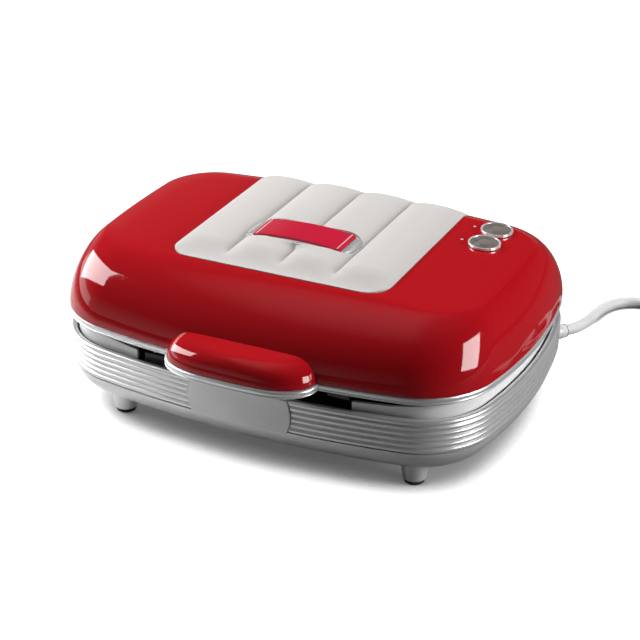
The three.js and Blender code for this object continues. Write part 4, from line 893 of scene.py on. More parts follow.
# Lid: silver rim with the handle's tongue, red shell, handle cap
trimShape = {
    "edge": 0.8,
    "edgeHeight": 1.0,
    "lowRounds": (0.5, 0.6),
    "highRounds": (0.7, 0.6),
    "lip": 2.5,
    "ledge": 9.0,
    "ledgeThick": 1.5,
    "upstand": 3.7,
    "upstandThick": 1.6,
    "upstandHeight": 3.0,
    "groove": 0.55,
    "grooveShare": 0.36,  # how far up the rim
    "grooveHalf": 0.38,
    "grooveRounds": (0.2, 0.12),  # beside it and in it
}
handleShape = {
    "x": 2.2,
    "half": 48.4,
    "reach": 19.7,
    "shoulder": 20.0,
    "undercut": 1.2,
    "planShares": (0.35, 0.75, 1.6, 0.4),  # side, corner and end of the round ends, and the bow between
    "planSteps": 14,
    "coverHeight": 13.6,
    "round": 10.0,
    "pinch": 5.0,
    "setback": 1.0,
    "levels": 18,
    "topShares": ((1.0, 0.965), (0.7, 0.985), (0.35, 1.0)),  # size and height of the rings over the round
}


def rimEdge(shape):
    # the outer face of the rim as (inset, height): two soft beads with a fine groove between
    groove = rimBottom + (rimTop - rimBottom) * shape["grooveShare"]
    beside, within = shape["grooveRounds"]
    (lowEdge, lowFace), (highFace, highEdge) = shape["lowRounds"], shape["highRounds"]
    points = [(shape["lip"], rimBottom), (shape["edge"], rimBottom, lowEdge),
              (0, rimBottom + shape["edgeHeight"], lowFace), (0, groove - shape["grooveHalf"], beside),
              (shape["groove"], groove, within), (0, groove + shape["grooveHalf"], beside),
              (0, rimTop - shape["edgeHeight"], highFace), (shape["edge"], rimTop, highEdge),
              (shape["upstand"], rimTop)]
    return fillet(points, pieces=5, closed=False)


def bezier(handles, count):
    # points along a curve of any degree, without its last one
    rows = []
    for k in range(count):
        line = [Vector(p) for p in handles]
        while len(line) > 1:
            line = [a.lerp(b, k / count) for a, b in zip(line, line[1:])]
        rows.append(tuple(line[0]))
    return rows


def handlePlan(grow, pinch=0.0):
    # the handle seen from above: a shallow bow between two round ends, run back into the body
    shape = handleShape
    steps = shape["planSteps"]
    side, corner, ends, bow = shape["planShares"]
    front = -body["halfDepth"] - shape["reach"] - grow
    half = shape["half"] + grow - pinch
    waist = half - shape["undercut"]
    cornerX = half - shape["shoulder"] * corner
    endX = half - shape["shoulder"] * ends
    dip = shape["undercut"] * bow
    shoulder, root = front + shape["shoulder"], -body["halfDepth"] / 2
    sideY = front + shape["shoulder"] * side
    under = front + shape["undercut"]
    plan = [(half, root), (-half, root)]
    plan += bezier([(-half, shoulder), (-waist, sideY), (-cornerX, under), (-endX, front + dip)], steps)
    plan += bezier([(-endX, front + dip), (0, front - dip), (endX, front + dip)], steps)
    plan += bezier([(endX, front + dip), (cornerX, under), (waist, sideY), (half, shoulder)], steps)
    plan.append((half, shoulder))
    return [(shape["x"] + x, y) for x, y in plan]


def makeTrim(shape):
    edge = rimEdge(shape)
    upTop = rimTop + shape["upstandHeight"]
    inner = shape["upstand"] + shape["upstandThick"]
    ledgeBottom = rimTop - shape["ledgeThick"]
    profile = edge + [(shape["upstand"], upTop), (inner, upTop), (inner, rimTop), (shape["ledge"], rimTop),
                      (shape["ledge"], ledgeBottom), (shape["lip"], ledgeBottom)]
    trim = wall("lidRim", profile)
    rings = [[(x, y, z) for x, y in handlePlan(-inset)] for inset, z in edge if inset <= shape["lip"]]
    tongue = loft("tongue", rings)
    within = [bodyRing(shape["lip"] / 2, z) for z in (rimBottom - overrun, rimTop + overrun)]
    combine(tongue, [loft("within", within)])
    return combine(trim, [tongue], "UNION")


standIn(makeTrim(trimShape), "silver_paint", "lid", "lid_trim", angle=50)
print("rim and tongue made")

domeShape = {
    "wall": 2.6,
    "rollX": 18.9,  # how far the sides roll in towards the top
    "rollY": 43.4,
    "crown": 4.9,
    "topCorner": 28.5,
    "topBow": 0.4,
    "insetFullness": 1.52,  # 2 is a round side, less is a flatter one
    "riseFullness": 1.77,
    "levels": 44,
    "innerLevels": 16,
    "topShares": (0.9, 0.8, 0.65, 0.5, 0.3, 0.12),  # sizes of the rings over the flat of the top
}
panelShape = {
    "halfX": 70.6,
    "front": 62.0,
    "back": 82.0,
    "depth": 3.4,
    "backing": 2.4,
    "proud": 0.4,
    "pad": 0.6,
    "arch": 4.4,
    "ribs": 4,
    "corner": 15.0,
    "bow": 2.0,
    "frontRoll": 22.0,
    "backRoll": 28.0,
    "sideRoll": 4.0,
    "channel": (0.0, 15.0),  # distances from the front edge over which the channels deepen
    "fullness": 2.5,
    "filled": 0.85,  # share of the channels that is filled in round the badge
    "filledRound": (0.3, 4.0),
    "filledAcross": (8.0, 22.0),
    "steps": (176, 150),
    "seatSteps": (72, 72),
    "backingSteps": (24, 24),
}
pilotShape = {
    "radius": 10.0,
    "face": 8.8,
    "bore": 7.6,
    "flange": 1.6,
    "depth": 9.0,
    "x": 96.6,
    "y": {"power": 32.0, "ready": 53.2},
    "rounds": (0.2, 1.1, 0.5),
    "ribs": 4,
    "ribSteps": 10,
    "plain": 0.42,  # share of the lens that has no ribs
    "ripple": 0.22,
    "seat": 0.4,  # heights as shares of the flange
    "edge": 0.9,
    "crown": 1.3,
    "edgeDrop": 0.35,
}


def crownZ(x, drop=0.0):
    return lidTop - drop - domeShape["crown"] * (x / body["halfWidth"]) ** 2


def tiltAt(x):
    # slope of the lid's crown
    return 2 * domeShape["crown"] * x / body["halfWidth"] ** 2


pilotLean = math.atan(tiltAt(pilotShape["x"]))
pilotAxis = (math.sin(pilotLean), 0, math.cos(pilotLean))


def domePlan(t, offset=0.0):
    # size of the shell's outline and its share of the height, at an angle of its roll
    shape = domeShape
    inset = 1 - max(0.0, math.cos(t)) ** (2 / shape["insetFullness"])
    size = (
        body["halfWidth"] - offset - shape["rollX"] * inset,
        body["halfDepth"] - offset - shape["rollY"] * inset,
        body["corner"] - offset + (shape["topCorner"] - body["corner"]) * inset,
        body["sideBow"] + (shape["topBow"] - body["sideBow"]) * inset,
        body["frontBow"] + (shape["topBow"] - body["frontBow"]) * inset,
    )
    return size, math.sin(t) ** (2 / shape["riseFullness"])


def domeBack(x, t):
    # the outline's Y at the back, at a given X
    (a, b, r, bowX, bowY), _ = domePlan(t)
    arc = ((a - r - bowX) ** 2 + bowY ** 2) / (2 * bowY) + r
    return b - arc + math.sqrt(arc * arc - x * x)


halvings = 24


def shellZ(x, y):
    # height of the lid's outside over its middle, with the rolls behind and before the flat of its top
    low, high, away = 0.0, math.pi / 2, abs(y)
    if away < domeBack(x, high):
        return crownZ(x)
    for _ in range(halvings):
        middle = (low + high) / 2
        if domeBack(x, middle) > away:
            low = middle
        else:
            high = middle
    return domeBase + (crownZ(x) - domeBase) * domePlan(low)[1]


def domeRings(offset, levels):
    rings = []
    for k in range(levels + 1):
        size, rise = domePlan(math.pi / 2 * k / levels, offset)
        outline = planOutline(*size)
        rings.append([(x, y, domeBase + (crownZ(x, offset) - domeBase) * rise) for x, y in outline])
    for share in domeShape["topShares"]:
        rings.append([(x * share, y * share, crownZ(x * share, offset)) for x, y in outline])
    return rings


def makeDome(name, offset, levels, skirt=0.0):
    rings = domeRings(offset, levels)
    if skirt:
        rings.insert(0, [(x, y, domeBase - skirt) for x, y, _ in rings[0]])
    return loft(name, rings)


def cornerReach(edge, r):
    # how far a round corner has run out, at a distance from the edge where it starts
    short = max(0.0, r - edge)
    return math.sqrt(max(0.0, r * r - short * short)) - r


def panelHalfWidth(y, grow):
    edge = min(y + panelShape["front"] + grow, panelShape["back"] + grow - y)
    return panelShape["halfX"] + grow + cornerReach(edge, panelShape["corner"])


def eased(share):
    # even steps made finer towards both ends
    return 0.5 - 0.5 * math.cos(math.pi * share)


def panelSpot(grow):
    def spot(u, v):
        s = eased(v)
        y = -panelShape["front"] - grow + (panelShape["front"] + panelShape["back"] + 2 * grow) * s
        x = (2 * u - 1) * panelHalfWidth(y, grow)
        return x, y - panelShape["bow"] * (1 - (x / panelShape["halfX"]) ** 2) * (1 - 2 * s)
    return spot


def makeShell():
    # a hollow dome, thickened behind the panel's seat
    wallThick, floor, backing = domeShape["wall"], panelShape["depth"], panelShape["backing"]
    shell = makeDome("lidShell", 0, domeShape["levels"])
    inner = makeDome("hollow", wallThick, domeShape["innerLevels"], skirt=overrun)
    plate = sheet("backing", *panelShape["backingSteps"], panelSpot(backing),
                  lambda x, y: shellZ(x, y) - floor - backing, lambda x, y: shellZ(x, y) - wallThick / 2)
    seat = sheet("seat", *panelShape["seatSteps"], panelSpot(gap),
                 lambda x, y: shellZ(x, y) - floor, lambda x, y: shellZ(x, y) + overrun)
    x, reach = pilotShape["x"], (-pilotShape["depth"] - overrun, overrun)
    bores = [rodPiece("bore", pilotShape["bore"] + gap, (x, y, crownZ(x)), pilotAxis, reach, sides=64)
             for y in pilotShape["y"].values()]
    combine(shell, [inner])
    combine(shell, [plate], "UNION")
    return combine(shell, [seat, *bores])


standIn(makeShell(), "red_gloss", "lid", "lid_shell", angle=30)
print("lid shell made")


def makeCap(shape):
    # a round edge on the handle's plan, then a slightly crowned top
    (_, edgeRise), *topShares = shape["topShares"]
    rings = []
    for k in range(shape["levels"] + 1):
        t = math.pi / 2 * k / shape["levels"]
        inset = 1 - math.cos(t)
        plan = handlePlan(-shape["setback"] - shape["round"] * inset, shape["pinch"] * inset)
        rings.append([(x, y, domeBase + shape["coverHeight"] * edgeRise * math.sin(t)) for x, y in plan])
    edge = rings[-1]
    middleY = sum(p[1] for p in edge) / len(edge)
    for share, rise in topShares:
        z = domeBase + shape["coverHeight"] * rise
        rings.append([(x * share, middleY + (y - middleY) * share, z) for x, y, _ in edge])
    cap = loft("handleCap", rings)
    return combine(cap, [makeDome("lidInTheWay", -gap, levels=24, skirt=overrun)])


standIn(makeCap(handleShape), "red_gloss", "lid", "handle_cover", angle=42)
print("handle cap made")

# Quilted panel with its badge
badgeShape = {
    "x": -1.5,
    "y": -14.5,
    "half": 35.5,
    "depth": 13.5,
    "corner": 10.0,
    "arch": 3.2,
    "lift": 5.2,
    "thick": 3.0,
    "steps": (72, 16),
    "rim": 1.2,
    "end": 4.8,  # length of the slotted piece at either end
    "endInset": 0.2,
    "endLift": 0.5,
    "slots": (1.1, 2.3),
    "slotWide": 0.5,
    "slotDrop": 0.4,
    "plateLift": 1.4,
    "collar": 1.3,
    "collarDrop": 0.5,
    "line": 2.4,
    "lineWide": 0.6,
    "lineInset": 0.9,
    "lineHeights": (-0.3, 0.06),  # under and over the plate's face
    "ease": {"frame": 0.4, "collar": 0.55, "plate": 0.7, "end": 1.0},
    "cutter": {"halfDepth": 20.0, "below": 10.0, "above": 20.0, "away": 60.0},
}


def badgeDistance(x, y):
    shape = badgeShape
    return roundedDistance(x - shape["x"], y - shape["y"], shape["half"], shape["depth"], shape["corner"])


def badgeZ(x, up):
    shape = badgeShape
    return crownZ(0) + shape["lift"] + up - shape["arch"] * ((x - shape["x"]) / shape["half"]) ** 2


def quiltZ(x, y):
    # height of the panel: soft ribs, channels that fade out to the front, rolled edges
    shape = panelShape
    pitch = 2 * shape["halfX"] / shape["ribs"]
    phase = (x + shape["halfX"]) % pitch / pitch
    arch = 1 - abs(2 * phase - 1) ** shape["fullness"]
    toFront = y + shape["front"]
    toBack = shape["back"] - y
    roll = min(smoothstep(toFront, 0, shape["frontRoll"]), smoothstep(toBack, 0, shape["backRoll"]))
    roll *= smoothstep(shape["halfX"] - abs(x), 0, shape["sideRoll"])
    channel = smoothstep(toFront, *shape["channel"])
    beside = 1 - smoothstep(badgeDistance(x, y), *shape["filledRound"])
    channel *= 1 - shape["filled"] * beside * (1 - smoothstep(abs(x), *shape["filledAcross"]))
    rib = shape["arch"] * (1 - channel * (1 - arch))
    return shellZ(x, y) + shape["proud"] + roll * (shape["pad"] + rib)


def badgeSlab(name, grow, low, high):
    # a slab on the badge's outline, bent along its arch
    half, depth, corner = (badgeShape[key] + grow for key in ("half", "depth", "corner"))

    def spot(u, v):
        x = (2 * eased(u) - 1) * half
        reach = depth + cornerReach(half - abs(x), corner)
        return badgeShape["x"] + x, badgeShape["y"] + (2 * v - 1) * reach

    return sheet(name, *badgeShape["steps"], spot, lambda x, y: badgeZ(x, low), lambda x, y: badgeZ(x, high))


def makePanel(shape):
    # the pad, with a collar round the badge's seat
    panel = sheet("quiltedPanel", *panelShape["steps"], panelSpot(0),
                  lambda x, y: shellZ(x, y) - panelShape["depth"] + gap, quiltZ)
    collar = badgeSlab("collar", shape["collar"], -shape["thick"] - 1, -shape["collarDrop"])
    bevelled(collar, shape["ease"]["collar"], segments=3, angle=40)
    combine(panel, [collar], "UNION")
    return combine(panel, [badgeSlab("seat", gap, -shape["thick"] - gap, overrun)])


standIn(makePanel(badgeShape), "panel_moulding", "lid", "quilted_panel", angle=32)


def acrossBadge(name, start, end, bottom=None):
    # a block over the whole depth of the badge, between two distances from its middle
    cutter = badgeShape["cutter"]
    low, high = sorted((start, end))
    x, y, z = badgeShape["x"], badgeShape["y"], crownZ(0)
    bottom = -cutter["below"] if bottom is None else bottom
    return blockPiece(name, (x + low, y - cutter["halfDepth"], z + bottom),
                      (x + high, y + cutter["halfDepth"], z + cutter["above"]))


def makeBadgeFrame(shape):
    # a tray with slotted end pieces that swell up between its rim and the coloured plate
    ease, away = shape["ease"], shape["cutter"]["away"]
    frame = badgeSlab("badgeFrame", 0, -shape["thick"], 0)
    combine(frame, [badgeSlab("tray", -shape["rim"], -shape["thick"] / 2, overrun)])
    bevelled(frame, ease["frame"], segments=3, angle=40)
    end = shape["half"] - shape["rim"] - shape["end"]
    inset, half = shape["endInset"], shape["slotWide"] / 2
    slotBottom = shape["lift"] - shape["arch"] - shape["slotDrop"]
    for side in (-1, 1):
        cheek = badgeSlab("cheek", -shape["rim"] - inset, -shape["thick"] / 2 - inset, shape["endLift"])
        combine(cheek, [acrossBadge("away", side * (end + inset / 2), -side * away)])
        bevelled(cheek, ease["end"], segments=4, angle=40)
        middles = [side * (end + slot) for slot in shape["slots"]]
        combine(cheek, [acrossBadge("slot", x - half, x + half, slotBottom) for x in middles])
        combine(frame, [cheek], "UNION")
    return frame


standIn(makeBadgeFrame(badgeShape), "bright_chrome", "lid", "badge_frame")


def makeBadgePlate(shape):
    # straight across at both ends, with its two long sides along the frame
    half = shape["half"] - shape["rim"] - gap - shape["end"]
    plate = badgeSlab("badgePlate", -shape["rim"] - gap, gap - shape["thick"] / 2, shape["plateLift"])
    combine(plate, [acrossBadge("end", side * half, side * shape["cutter"]["away"]) for side in (-1, 1)])
    return bevelled(plate, shape["ease"]["plate"], segments=4, angle=40)


standIn(makeBadgePlate(badgeShape), "red_enamel", "lid", "badge_plate")


def makeBadgeLine(name, side, shape):
    # a thin pale line laid into the plate near its end
    away, half = shape["cutter"]["away"], shape["lineWide"] / 2
    x = shape["half"] - shape["rim"] - gap - shape["end"] - shape["line"]
    low, high = (shape["plateLift"] + height for height in shape["lineHeights"])
    line = badgeSlab(name, -shape["rim"] - gap - shape["lineInset"], low, high)
    return combine(line, [acrossBadge("inside", side * (x - half), -side * away),
                          acrossBadge("outside", side * (x + half), side * away)])


for side, sideName in ((-1, "left"), (1, "right")):
    settle(makeBadgeLine(f"badgeLine_{sideName}", side, badgeShape), finishes["panel_moulding"], "lid")
print("panel and badge made")

# Pilot lights


def bezelProfile(shape):
    inner, bore, low = shape["bore"] - shape["flange"], shape["bore"], -shape["depth"]
    seat, top = gap + shape["flange"] * shape["seat"], gap + shape["flange"]
    under, outside, inside = shape["rounds"]
    return fillet([(inner, low), (bore, low), (bore, gap), (shape["radius"], gap, under),
                   (shape["radius"], top, outside), (shape["face"], top, inside), (shape["face"], seat),
                   (inner, seat)], pieces=7)


def lensProfile(shape):
    # a low dome with round ribs outside its plain middle, on a stem
    reach, stem, low = shape["face"] - gap, shape["bore"] - shape["flange"] - gap, -shape["depth"] / 2
    seat = 2 * gap + shape["flange"] * shape["seat"]
    crown = shape["flange"] * shape["crown"]
    edge = gap + shape["flange"] * shape["edge"] - shape["edgeDrop"]
    count = shape["ribs"] * shape["ribSteps"]
    rows = [(0, crown)]
    for k in range(1, count):
        share = k / count
        outer = max(0, share - shape["plain"]) / (1 - shape["plain"])
        ripple = shape["ripple"] * (1 - math.cos(2 * math.pi * shape["ribs"] * outer))
        rows.append((reach * share, crown - (crown - edge) * share ** 2 - ripple))
    return rows + [(reach, edge), (reach, seat), (stem, seat), (stem, low), (0, low)]


for pilotName, pilotY in pilotShape["y"].items():
    seatPoint = (pilotShape["x"], pilotY, crownZ(pilotShape["x"]))
    bezel = turnedPiece(f"pilotBezel_{pilotName}", bezelProfile(pilotShape), seatPoint, pilotAxis, sides=72)
    standIn(bezel, "bright_chrome", "lid", f"pilot_bezel_{pilotName}")
    lens = turnedPiece(f"pilotLens_{pilotName}", lensProfile(pilotShape), seatPoint, pilotAxis, sides=72)
    standIn(lens, "smoked_lens", "lid", f"pilot_lens_{pilotName}")
print("pilot lights made")

# Gland and plug of the cord
glandShape = {
    "flange": 6.6,
    "flangeThick": 2.0,
    "flangeFace": 18.3,
    "inner": 24.0,
    "neck": 5.0,
    "root": 6.0,
    "tip": 4.6,
    "grooves": 3,
    "groove": 0.7,
    "grooveShares": (0.25, 0.7, 0.85),  # both ends of a ring and the groove after it
    "rounds": {"inner": 0.3, "flange": 0.4, "neck": 0.2, "ring": 0.5, "tip": 0.4},
}
plugShape = {
    "half": 17.5,
    "thick": 16.0,
    "length": 34.0,
    "corner": 6.0,
    "cornerSteps": 8,
    "neck": 20.0,
    "neckWall": 1.0,
    "neckSteps": 10,
    "neckCorner": 0.9,  # 1 is a round neck
    "neckSwell": (0.4, 0.2),  # how much wider and thicker the neck is where the nose begins
    "neckEnd": (0.6, 0.93, 0.85),  # length of its eased end, and that end's size and corner
    "nose": 10.0,
    "noseSteps": 8,
    "edges": ((6.0, 0.0), (0.8, 0.0), (0.25, 0.25), (0.0, 0.9)),  # distance from the face, and its easing
}


def makeGland(shape, length):
    # the rings of the strain relief, tapering to the cord, with the flange that sits inside the underpan
    rounds, tip, neck = shape["rounds"], shape["tip"], shape["neck"]
    face, back = -shape["flangeFace"], -shape["flangeFace"] - shape["flangeThick"]
    first, last, cut = shape["grooveShares"]
    profile = [(0, -shape["inner"]), (tip, -shape["inner"], rounds["inner"]), (tip, back),
               (shape["flange"], back, rounds["flange"]), (shape["flange"], face, rounds["flange"]),
               (neck, face), (neck, shape["groove"], rounds["neck"])]
    for k in range(shape["grooves"]):
        for share, depth in ((first, 0), (last, 0), (cut, shape["groove"])):
            s = (k + share) / shape["grooves"]
            profile.append((shape["root"] + (tip - shape["root"]) * s - depth,
                            shape["groove"] + (length - shape["groove"]) * s, rounds["ring"]))
    profile += [(tip, length - shape["groove"], rounds["tip"]), (tip, length, rounds["ring"]), (0, length)]
    return turnedPiece("cordGland", fillet(profile, closed=False), glandFoot, glandAxis, sides=48)


standIn(makeGland(glandShape, cordRoute["glandLength"]), "cord_sheath", "base", "cord_gland", angle=50)


def plugSection(shape, along, half, thick, corner):
    # a rectangle with round corners, across the plug
    steps = shape["cornerSteps"]
    ring = []
    for q, (sx, sz) in enumerate(((1, 1), (-1, 1), (-1, -1), (1, -1))):
        for k in range(steps + 1):
            t = math.pi / 2 * (q + k / steps)
            ring.append((plugNeck.x + sx * (half - corner) + corner * math.cos(t), plugNeck.y - along,
                         plugNeck.z + sz * (thick / 2 - corner) + corner * math.sin(t)))
    return ring


def makePlug(shape):
    # sections from the cord to the face: a neck that swells, a rounded nose, a straight body
    neck = cordRoute["diameter"] / 2 + shape["neckWall"]
    straight = (shape["half"], shape["thick"], shape["corner"])
    (wider, thicker), (endLength, endSize, endCorner) = shape["neckSwell"], shape["neckEnd"]
    roundness = shape["neckCorner"]
    stations = [(0, neck * endSize, 2 * neck * endSize, neck * endCorner),
                (endLength, neck, 2 * neck, neck * roundness)]
    for k in range(1, shape["neckSteps"] + 1):
        t = k / shape["neckSteps"]
        stations.append((shape["neck"] * t, neck * (1 + wider * t * t), 2 * neck * (1 + thicker * t * t),
                         neck * (roundness + (1 - roundness) * smoothstep(t, 0, 1))))
    start = stations[-1][1:]
    for k in range(1, shape["noseSteps"] + 1):
        t = k / shape["noseSteps"]
        swollen = [a + (b - a) * math.sin(math.pi / 2 * t) for a, b in zip(start, straight)]
        stations.append((shape["neck"] + shape["nose"] * t, *swollen))
    end = shape["neck"] + shape["length"]
    for back, ease in shape["edges"]:
        stations.append((end - back, shape["half"] - ease, shape["thick"] - 2 * ease, shape["corner"] - ease))
    return loft("plugBody", [plugSection(shape, *station) for station in stations])


plugBody = standIn(makePlug(plugShape), "cord_sheath", "base", "plug_body", angle=50)
standIn(mainsCord, "cord_sheath", "base", "mains_cord_lead", "mains_cord_coil", "mains_cord_tail")
print("gland, plug and cord made")

# Cooking plates with dished triangular pockets
plateShape = {
    "halfX": 118.0,
    "halfY": 76.0,
    "corner": 12.0,
    "steps": (168, 108),
    "flange": 3.0,
    "wall": 2.5,
    "pocketDepth": 14.0,
    "pocketHalf": 48.5,
    "pocketX": 55.5,
    "pocketCorner": 14.0,
    "pocketBlend": 5.0,
    "taper": 4.9,
    "ridge": 8.0,
    "ridgeShares": (0.2, 0.3),  # half of its flat crest and the run of a flank, as shares of its width
    "ridgeHeight": 9.0,
    "ridgeBlend": 2.5,
    "wellX": 109.0,
    "wellY": 62.5,
    "tongueX": 60.0,
    "tongueHalf": 7.0,
    "tongue": 4.0,
    "tongueRoot": 2.0,
    "tongueThick": 1.5,
}


def softMin(a, b, blend):
    h = max(0.0, blend - abs(a - b)) / blend
    return min(a, b) - h * h * blend / 4


def plateTop(x, y):
    # height of the cooking face below the parting plane
    shape = plateShape
    crestShare, flankShare = shape["ridgeShares"]
    z = 0.0
    for side in (-1, 1):
        px = x - side * shape["pocketX"]
        away = -roundedDistance(px, y, shape["pocketHalf"], shape["pocketHalf"], shape["pocketCorner"])
        if away <= 0:
            continue
        slope = away * shape["pocketDepth"] / shape["taper"]
        depth = softMin(slope, shape["pocketDepth"], shape["pocketBlend"])
        across = abs(px + side * y) / math.sqrt(2)
        crest = shape["pocketDepth"] - shape["ridgeHeight"]
        run = max(0.0, across - shape["ridge"] * crestShare) / (shape["ridge"] * flankShare)
        z = -max(0.0, softMin(depth, crest + run * shape["ridgeHeight"], shape["ridgeBlend"]))
    return z


def plateUnder(x, y):
    # height of its back: a flange round one drafted well
    shape = plateShape
    away = -roundedDistance(x, y, shape["wellX"], shape["wellY"], shape["corner"])
    deepest = shape["pocketDepth"] + shape["wall"] - shape["flange"]
    return -shape["flange"] - min(max(0.0, away) * deepest / shape["taper"], deepest)


def plateSpot(u, v):
    shape = plateShape
    y = (2 * v - 1) * shape["halfY"]
    return (2 * u - 1) * (shape["halfX"] + cornerReach(shape["halfY"] - abs(y), shape["corner"])), y


def makePlate(name, faceZ, up, shape):
    # up is 1 for the plate in the base and -1 for its counterpart in the lid
    plate = sheet(name, *shape["steps"], plateSpot, lambda x, y: faceZ + up * plateUnder(x, y),
                  lambda x, y: faceZ + up * plateTop(x, y))
    x, half, front = -up * shape["tongueX"], shape["tongueHalf"], -shape["halfY"]
    low, high = sorted((faceZ - up * shape["flange"], faceZ - up * (shape["flange"] - shape["tongueThick"])))
    tongue = blockPiece("tongue", (x - half, front - shape["tongue"], low),
                        (x + half, front + shape["tongueRoot"], high))
    return combine(plate, [tongue], "UNION")


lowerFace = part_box("lower_plate")[1].z / mm
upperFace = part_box("upper_plate")[0].z / mm
lowerPlate = makePlate("lowerPlate", lowerFace, 1, plateShape)
upperPlate = makePlate("upperPlate", upperFace, -1, plateShape)
standIn(lowerPlate, "nonstick_coating", "base", "lower_plate", angle=40)
standIn(upperPlate, "nonstick_coating", "lid", "upper_plate", angle=40)
print("cooking plates made")

# Catch springs: wound wire along its post, each with a mesh of its own; on the real catch the wire flattens
# against the post when pressed
springShape = {
    "turns": 4,
    "radius": 2.0,
    "wire": 0.42,  # its radius
    "steps": 24,
    "sides": 10,
    "keep": 0.36,  # share of its length that is left when pressed
}


def makeSpring(name, node, shape):
    low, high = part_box(node)
    middleX, middleZ = (low.x + high.x) / 2 / mm, (low.z + high.z) / 2 / mm
    front = low.y / mm - body["middleY"] + shape["wire"]
    length = (high.y - low.y) / mm - 2 * shape["wire"]
    rise = length / (2 * math.pi * shape["turns"])
    rings = []
    for k in range(shape["turns"] * shape["steps"] + 1):
        t = 2 * math.pi * k / shape["steps"]
        outward = Vector((math.cos(t), 0, math.sin(t)))
        along = Vector((-shape["radius"] * math.sin(t), rise, shape["radius"] * math.cos(t))).normalized()
        middle = Vector((middleX, front + rise * t, middleZ)) + shape["radius"] * outward
        sideways = along.cross(outward)
        ring = []
        for n in range(shape["sides"]):
            angle = 2 * math.pi * n / shape["sides"]
            ring.append(middle + shape["wire"] * (math.cos(angle) * outward + math.sin(angle) * sideways))
        rings.append(ring)
    return loft(name, rings)


for catch, rides in (("lower", "base"), ("upper", "lid")):
    springNode = f"{catch}_release_spring"
    spring = makeSpring(f"{catch}CatchSpring", springNode, springShape)
    standIn(spring, "bright_steel", rides, springNode, angle=60)
    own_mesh(spring)
print("catch springs made")

# Pale dots beside the pilot lights
dotShape = {"radius": 0.9, "thick": 0.12, "sunk": 0.05, "edgeShare": 0.6, "faceShare": 0.8, "away": 14.5}
paleInk = mouldedPlastic("paleInk", (0.62, 0.52, 0.50), (0.70, 0.62, 0.60), 0.4)


def makeDot(name, y, shape):
    x = pilotShape["x"] - shape["away"]
    radius, thick, low = shape["radius"], shape["thick"], -shape["sunk"]
    profile = [(0, low), (radius, low), (radius, thick * shape["edgeShare"]),
               (radius * shape["faceShare"], thick), (0, thick)]
    return turnedPiece(name, profile, (x, y, crownZ(x)), (tiltAt(x), 0, 1), sides=24)


for dotName, dotY in pilotShape["y"].items():
    settle(makeDot(f"pilotMark_{dotName}", dotY, dotShape), paleInk, "lid")
print("marks made")

# Studio: pale floor, white surround, soft lamps
studio = {
    "floorHalf": 6.0,  # in metres, as are contact and the bounce's middle and reach
    "floor": 0.35,
    "roughness": 0.9,
    "specular": 0.1,
    "contact": 0.04,  # how near the object darkens the floor
    "samples": 16,
    "openness": (0.26, 0.53),  # from the darkest of the shadow to clear floor
    "lift": (0.09, 1.0),
    "bounce": (0.82, 0.06),  # what light meets on the floor, near the middle and far from it: a painted pool of bounce light that fades to dark far off
    "bounceMiddle": (-0.25, -0.06, 0.0),
    "bounceReach": (0.12, 0.48),
    "rightShare": 0.12,  # how much dimmer the sky is on the right
    "leftward": (0.1, -0.5),
    "sky": ((0.0, 0.60), (0.16, 0.45), (0.38, 0.06), (0.84, 0.08), (0.97, 0.90)),  # height and strength
}


def makeWorld(setup):
    # white to the camera and through clear pieces, and a soft sky to everything else
    world = bpy.data.worlds.new("studio")
    world.use_nodes = True
    bpy.context.scene.world = world
    tree = world.node_tree
    tree.nodes.clear()
    direction = addNode(tree, "ShaderNodeTexCoord")
    split = addNode(tree, "ShaderNodeSeparateXYZ")
    height = addNode(tree, "ShaderNodeValToRGB")
    ramp = height.color_ramp
    while len(ramp.elements) < len(setup["sky"]):
        ramp.elements.new(0.5)
    for stop, (rise, strength) in zip(ramp.elements, setup["sky"]):
        stop.position = rise
        stop.color = (strength, strength, strength, 1)
    rays = addNode(tree, "ShaderNodeLightPath")
    white = addNode(tree, "ShaderNodeMath", operation="MAXIMUM")
    shown = addNode(tree, "ShaderNodeMix", data_type="FLOAT")
    shown.inputs["B"].default_value = 1.0
    background = addNode(tree, "ShaderNodeBackground")
    output = addNode(tree, "ShaderNodeOutputWorld")
    tree.links.new(direction.outputs["Generated"], split.inputs["Vector"])
    tree.links.new(split.outputs["Z"], height.inputs["Fac"])
    tree.links.new(rays.outputs["Is Camera Ray"], white.inputs[0])
    tree.links.new(rays.outputs["Is Transmission Ray"], white.inputs[1])
    tree.links.new(white.outputs["Value"], shown.inputs["Factor"])
    leftward = mapped(tree, split.outputs["X"], setup["leftward"], (setup["rightShare"], 1.0), "SMOOTHSTEP")
    strength = addNode(tree, "ShaderNodeMath", operation="MULTIPLY")
    tree.links.new(leftward, strength.inputs[0])
    tree.links.new(height.outputs["Color"], strength.inputs[1])
    tree.links.new(strength.outputs["Value"], shown.inputs["A"])
    tree.links.new(shown.outputs["Result"], background.inputs["Strength"])
    tree.links.new(background.outputs["Background"], output.inputs["Surface"])


